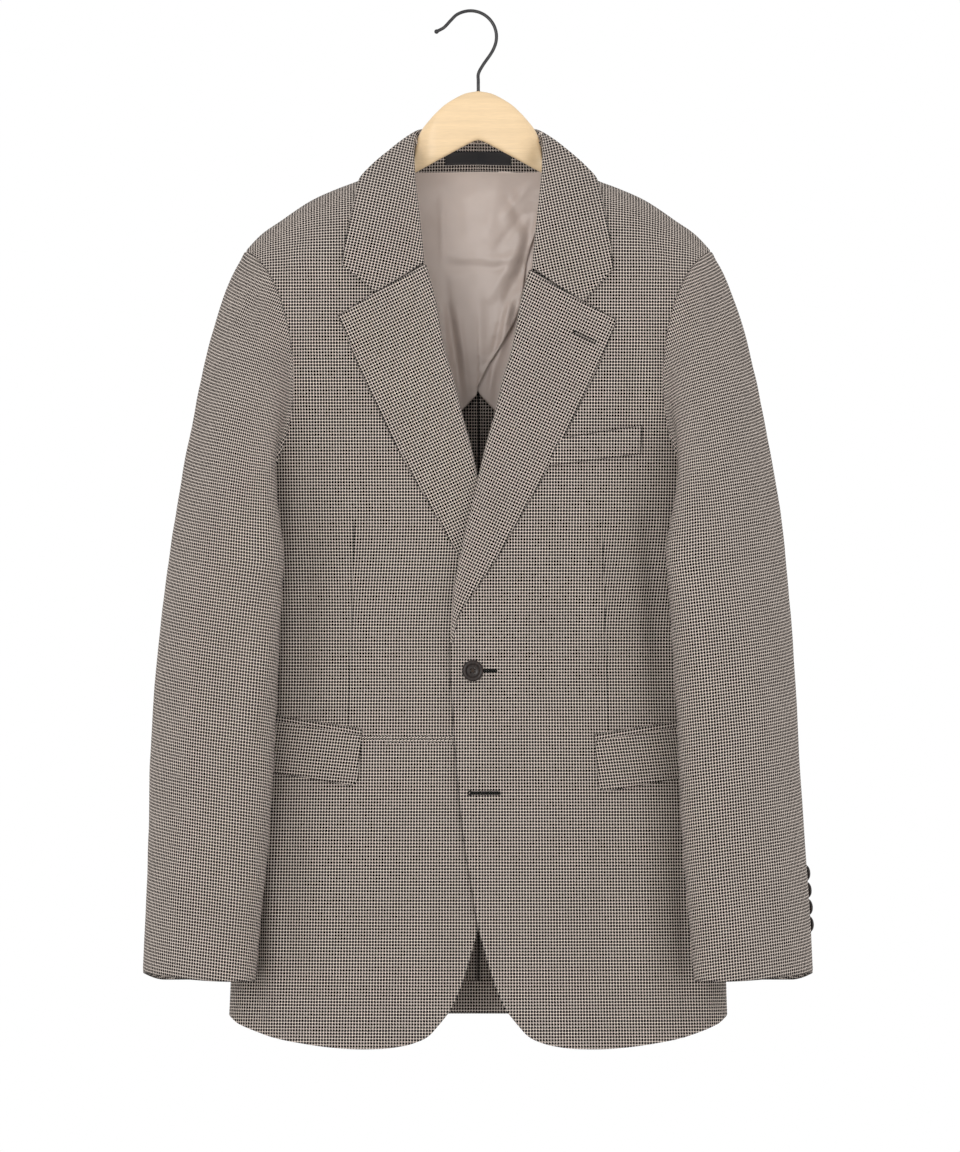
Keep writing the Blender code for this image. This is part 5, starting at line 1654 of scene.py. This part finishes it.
def make_button(node, drilled, where, size):
    """A button and the crossed thread in its holes."""
    bm = bmesh.new()
    bm.from_mesh(drilled)
    bmesh.ops.transform(bm, matrix=where, verts=bm.verts[:])
    piece = object_from(bm, f"{node}_horn", ["button_horn"], "horn", [node])
    piece.data.set_sharp_from_angle(angle=math.radians(40))
    threads = bmesh.new()
    for turn in (math.pi / 4, 3 * math.pi / 4):
        for shift in (-0.25, 0.25):
            move = (where @ Matrix.Translation(Vector((0, 0, 0.42 * size.thick * MM)))
                    @ Matrix.Rotation(turn, 4, "Z") @ Matrix.Translation(Vector((0, shift * 0.9 * MM, 0)))
                    @ Matrix.Diagonal((HOLE_OUT * 1.5 * size.radius, 0.32, 0.32, 1)))
            bmesh.ops.create_uvsphere(threads, u_segments=10, v_segments=8, radius=MM, matrix=move)
    object_from(threads, f"{node}_horn_thread", ["button_thread"], "horn")


def body_frame(side, out, drop, height):
    place = to_world(side, on_front(side, out, drop, height))
    near = to_world(side, on_front(side, out + 4, drop, height))
    low = to_world(side, on_front(side, out, drop + 4, height))
    across = (near - place) * side
    outward = across.cross(low - place)
    if outward.y > 0:
        outward.negate()
    return facing_frame(place, outward, across)


def sleeve_frame(side, degrees, share, height):
    place = to_world(side, sleeve_point(side, degrees, share))
    ahead = to_world(side, sleeve_point(side, degrees + 3, share)) - place
    low = to_world(side, sleeve_point(side, degrees, share + 0.01)) - place
    outward = ahead.cross(low)
    if outward.x * side < 0:
        outward.negate()
    return facing_frame(place + outward.normalized() * height * MM, outward, ahead)


STITCH = 0.75           # spacing of the buttonhole stitches
SLEEVE_HOLE = 7.0       # a sleeve buttonhole, under its button
UPPER_HOLE = 21.0
LOWER_HOLE = 27.0
LOWER_HOLE_OUT = -8.0
LAPEL_HOLE = 20.0
LAPEL_HOLE_PLACE = (104.0, 297.0, 3.4)


def make_buttonhole(name, where, length, eyelet=2.0, gap=0.8, reach=1.1):
    """Close upright stitches along both lips, round an eyelet at one end, and a bar at the other."""
    bm = bmesh.new()

    def stitch(x, y, turn, long=reach, thin=0.42):
        move = (where @ Matrix.Translation(Vector((x, y, 0.25)) * MM) @ Matrix.Rotation(turn, 4, "Z")
                @ Matrix.Diagonal((thin, long, 0.42, 1)))
        bmesh.ops.create_uvsphere(bm, u_segments=6, v_segments=5, radius=MM, matrix=move)

    for number in range(int((length - eyelet) / STITCH)):
        x = eyelet + number * STITCH
        uneven = 0.12 * math.sin(number * 2.3)
        stitch(x, gap, uneven)
        stitch(x + STITCH / 2, -gap, -uneven)
    for number in range(11):
        angle = math.radians(40 + 280 * number / 10)
        x, y = eyelet * 0.2 + eyelet * 0.85 * math.cos(angle), eyelet * 0.85 * math.sin(angle)
        stitch(x, y, angle - math.pi / 2, 0.8 * reach)
    for shift in (-0.5, 0.0, 0.5):
        stitch(length + 0.3 + shift * 0.8, 0.0, 0.0, gap + reach, 0.36)
    object_from(bm, name, ["buttonhole_thread"], "horn")


class JACKET_OT_buttons(bpy.types.Operator):
    """Front and sleeve buttons with their thread, and the worked buttonholes"""
    bl_idname = "jacket.buttons"
    bl_label = "Buttons and buttonholes"

    def execute(self, context):
        upper = body_frame(1, FRONT_BUTTON.out, FRONT_BUTTON.drop, BUTTON_SEAT)
        make_button("front_button_upper", button_blank(FRONT_SIZE), upper, FRONT_SIZE)
        lower = body_frame(-1, -LOWER_BUTTON.out, LOWER_BUTTON.drop, BUTTON_SEAT)
        make_button("front_button_lower", button_blank(LOWER_SIZE), lower, LOWER_SIZE)
        small = button_blank(SLEEVE_SIZE)
        for side_name, side in SIDES.items():
            degrees = HIND_SEAM + SLEEVE_BUTTON_DEGREES[side_name]
            for number, drop in enumerate(SLEEVE_BUTTONS, 1):
                below = (drop - SLEEVE_TOP_DROP) / (CUFF_DROP - SLEEVE_TOP_DROP)
                share = CAP_SHARE + below * (1 - CAP_SHARE)
                make_button(f"sleeve_button_{side_name}_{number}", small,
                            sleeve_frame(side, degrees, share, BUTTON_SEAT), SLEEVE_SIZE)
                make_buttonhole(f"sleeve_buttonhole_{side_name}_{number}",
                                sleeve_frame(side, degrees, share, 0.0), SLEEVE_HOLE, 1.2)
        upper = body_frame(1, FRONT_BUTTON.out, FRONT_BUTTON.drop, 0.0)
        make_buttonhole("buttonhole_upper", upper, UPPER_HOLE)
        lower = body_frame(1, LOWER_HOLE_OUT, LOWER_BUTTON.drop, 0.0)
        make_buttonhole("buttonhole_lower", lower, LOWER_HOLE)
        lapel = body_frame(1, *LAPEL_HOLE_PLACE) @ Matrix.Rotation(math.radians(180 - LAPEL_GRAIN), 4, "Z")
        make_buttonhole("buttonhole_lapel", lapel, LAPEL_HOLE, 1.7, 1.1, 0.55)
        return {"FINISHED"}


# ---------------------------------------------------------------- hanger
dome_drop = smooth(DOME, "drop", "out")
STEM_OUT = 7.0          # where the hook's wire leaves the wood
WIRE_POINTS = 150
WIRE_BALL = 2.1         # radius of the ball at the wire's end


def hanger_top(out):
    arm = shoulder_drop(out) + CLOTH + ARM_GAP
    return min(dome_drop(out), arm) if out < DOME[-1].out else arm


class JACKET_OT_hanger(bpy.types.Operator):
    """Shaped maple hanger with its bent wire hook"""
    bl_idname = "jacket.hanger"
    bl_label = "Hanger"

    def execute(self, context):
        self.make_wood()
        self.make_hook()
        return {"FINISHED"}

    def make_wood(self):
        stations = [DOME[-1].out * math.sin(math.radians(degrees)) for degrees in range(0, 90, 4)]
        stations += [mix(58.2, ARM_OUT, i / 46) for i in range(47)]
        stations = [-out for out in reversed(stations[1:])] + stations
        bm = bmesh.new()
        bmesh.ops.create_grid(bm, x_segments=40, y_segments=len(stations) - 1, size=0.5)
        for vert in bm.verts:
            out = stations[round((vert.co.y + 0.5) * (len(stations) - 1))]
            away = abs(out)
            angle = 2 * math.pi * (vert.co.x + 0.5)
            top = hanger_top(away)
            bottom = VEE_DROP + VEE_SLOPE * math.sqrt(out * out + 9) - 1.6
            tip = 1 - 0.35 * ease((away / ARM_OUT - 0.93) / 0.07)
            half_high = (bottom - top) / 2 * tip
            waist = 1 - NECK_WAIST * math.exp(-((away - NECK_WAIST_OUT) / 7.0) ** 2)
            half_thick = HANGER_HALF_THICK * waist * tip
            flat = mix(0.42, 0.85, ease((away - 38) / 12))
            round_it = (math.cos(angle), math.sin(angle))
            high, through = (math.copysign(abs(part) ** flat, part) for part in round_it)
            depth = ridge_depth(away) * ease((away - 45) / 15) + half_thick * through
            vert.co = to_world(1, Vector((out, depth, (top + bottom) / 2 - half_high * high)))
        bmesh.ops.remove_doubles(bm, verts=bm.verts[:], dist=MERGE)
        bmesh.ops.holes_fill(bm, edges=[edge for edge in bm.edges if edge.is_boundary], sides=0)
        bmesh.ops.recalc_face_normals(bm, faces=bm.faces[:])
        object_from(bm, "hanger_wood", ["hanger_maple"], "maple", ["hanger"])

    def make_hook(self):
        route = [(STEM_OUT, 71.3), (STEM_OUT, 62), (7.2, 55.0), (11.5, 47.0), (18.5, 37.0)]
        for degrees in range(-20, 125, 16):
            angle = math.radians(degrees)
            route.append((HOOK_BEND * math.cos(angle), HOOK_CENTRE_DROP - HOOK_BEND * math.sin(angle)))
        route += [(-18.4, 7.8), (-24.0, 13.6), (-30.6, 17.2)]
        read_out, read_drop = (smooth([Point(i, p[k]) for i, p in enumerate(route)], "out") for k in range(2))
        curve = bpy.data.curves.new("hook_route", "CURVE")
        curve.dimensions = "3D"
        curve.bevel_depth = HOOK_RADIUS * MM
        curve.bevel_resolution = 6
        curve.use_fill_caps = True
        spline = curve.splines.new("POLY")
        spline.points.add(WIRE_POINTS - 1)
        for number, point in enumerate(spline.points):
            place = number / (WIRE_POINTS - 1) * (len(route) - 1)
            point.co = (read_out(place) * MM, 0.0, -read_drop(place) * MM, 1.0)
        rail = linked("hook_route", curve)
        bm = bmesh.new()
        bm.from_mesh(evaluated(rail))
        bpy.data.objects.remove(rail)
        bmesh.ops.remove_doubles(bm, verts=bm.verts[:], dist=MERGE)
        end = Vector((route[-1][0], 0, -route[-1][1])) * MM
        bmesh.ops.create_uvsphere(bm, u_segments=20, v_segments=14, radius=WIRE_BALL * MM,
                                  matrix=Matrix.Translation(end))
        ferrule = Vector((STEM_OUT, 0, -72.2)) * MM
        bmesh.ops.create_cone(bm, cap_ends=True, segments=24, radius1=2.5 * MM, radius2=1.9 * MM,
                              depth=1.4 * MM, matrix=Matrix.Translation(ferrule))
        object_from(bm, "hook_wire", ["hook_dark_nickel"], "hook_metal", ["hook"])


# ---------------------------------------------------------------- stage
VIEW_HEIGHT = 1.0368    # what the picture shows from top to bottom, at the jacket
VIEW_CENTRE = Vector((0.00855, -0.02, -0.5079))
CAMERA_DISTANCE = 14.0
SENSOR = 36.0
FLOOR_DROP = 1.25
FLOOR_RADIUS = 1.9
KEY_PLACE = (-0.9, -2.6, -0.3)
KEY_SIZE = 1.2
FILL_PLACE = (1.9, -2.4, -1.0)
FILL_SIZE = 1.6


class JACKET_OT_stage(bpy.types.Operator):
    """Pale floor, white surroundings, soft lights and the camera"""
    bl_idname = "jacket.stage"
    bl_label = "Stage"

    def execute(self, context):
        scene = context.scene
        sizes = scene.jacket
        bm = bmesh.new()
        bmesh.ops.create_circle(bm, cap_ends=True, segments=64, radius=FLOOR_RADIUS,
                                matrix=Matrix.Translation((0, 0, -FLOOR_DROP)))
        floor = linked("floor", mesh_from(bm, "floor"))
        floor.data.materials.append(material("floor_pale"))
        world = bpy.data.worlds.new("white_room")
        world.use_nodes = True
        background = world.node_tree.nodes["Background"].inputs
        background[0].default_value = (1, 1, 1, 1)
        background[1].default_value = sizes.room_light
        scene.world = world
        self.light("key", KEY_PLACE, KEY_SIZE, sizes.key_light)
        self.light("fill", FILL_PLACE, FILL_SIZE, sizes.fill_light)
        camera_data = bpy.data.cameras.new("camera")
        camera_data.sensor_width = SENSOR
        camera_data.lens = CAMERA_DISTANCE * SENSOR / VIEW_HEIGHT
        camera_data.clip_end = 50
        camera = linked("camera", camera_data)
        camera.location = VIEW_CENTRE + Vector((0, -CAMERA_DISTANCE, 0))
        camera.rotation_euler = (math.pi / 2, 0, 0)
        scene.camera = camera
        scene.view_settings.view_transform = "Standard"
        return {"FINISHED"}

    def light(self, name, place, size, power):
        data = bpy.data.lights.new(name, "AREA")
        data.shape = "DISK"
        data.size = size
        data.energy = power
        lamp = linked(name, data)
        lamp.location = place
        lamp.rotation_euler = (VIEW_CENTRE - Vector(place)).to_track_quat("-Z", "Y").to_euler()


# ---------------------------------------------------------------- settings and panel
def colour_property(name, description, default):
    return FloatVectorProperty(name=name, description=description, default=default, size=3, subtype="COLOR",
                               min=0.0, max=1.0)


def size_property(name, description, default, **settings):
    return FloatProperty(name=name, description=description, default=default, **settings)


class JacketSettings(bpy.types.PropertyGroup):
    """Sizes and colours that a user would change"""
    check_width: size_property("Check width", "One repeat of the check across the cloth", 0.0025,
                               unit="LENGTH")
    check_height: size_property("Check height", "One repeat of the check down the cloth", 0.00285,
                                unit="LENGTH")
    crease_strength: size_property("Creases", "How strongly the cloth is creased", 1.9, subtype="FACTOR",
                                   soft_max=3.0)
    ink: colour_property("Dark threads", "Colour of the dark threads", (0.006, 0.005, 0.005))
    cream: colour_property("Light threads", "Colour of the light threads", (0.895, 0.775, 0.69))
    lining: colour_property("Lining", "Colour of the satin lining", (0.73, 0.605, 0.535))
    horn: colour_property("Buttons", "Darkest colour of the horn", (0.010, 0.0055, 0.004))
    maple: colour_property("Hanger", "Colour of the maple", (0.865, 0.635, 0.375))
    floor: colour_property("Floor", "Colour of the floor", (0.86, 0.86, 0.86))
    room_light: size_property("Room light", "Brightness of the white surroundings", 1.0)
    key_light: size_property("Key light", "Light from the left", 16.0, unit="POWER")
    fill_light: size_property("Fill light", "Light from the lower right", 6.0, unit="POWER")


OPERATORS = (
    JACKET_OT_hanger, JACKET_OT_fronts, JACKET_OT_sides, JACKET_OT_backs, JACKET_OT_sleeves, JACKET_OT_lapels,
    JACKET_OT_collar, JACKET_OT_pockets, JACKET_OT_inside, JACKET_OT_buttons, JACKET_OT_stage,
)


class JACKET_PT_panel(bpy.types.Panel):
    """The jacket's settings and pieces"""
    bl_label = "Houndstooth Jacket"
    bl_space_type = "VIEW_3D"
    bl_region_type = "UI"
    bl_category = "Jacket"

    def draw(self, context):
        for name in JacketSettings.__annotations__:
            self.layout.prop(context.scene.jacket, name)
        for operator in OPERATORS:
            self.layout.operator(operator.bl_idname)


CLASSES = (JacketSettings, *OPERATORS, JACKET_PT_panel)


def register():
    for item in CLASSES:
        bpy.utils.register_class(item)
    bpy.types.Scene.jacket = PointerProperty(type=JacketSettings)


def unregister():
    del bpy.types.Scene.jacket
    for item in reversed(CLASSES):
        bpy.utils.unregister_class(item)


def main():
    register()
    for operator in OPERATORS:
        group, name = operator.bl_idname.split(".")
        getattr(getattr(bpy.ops, group), name)()


if __name__ == "__main__":
    main()
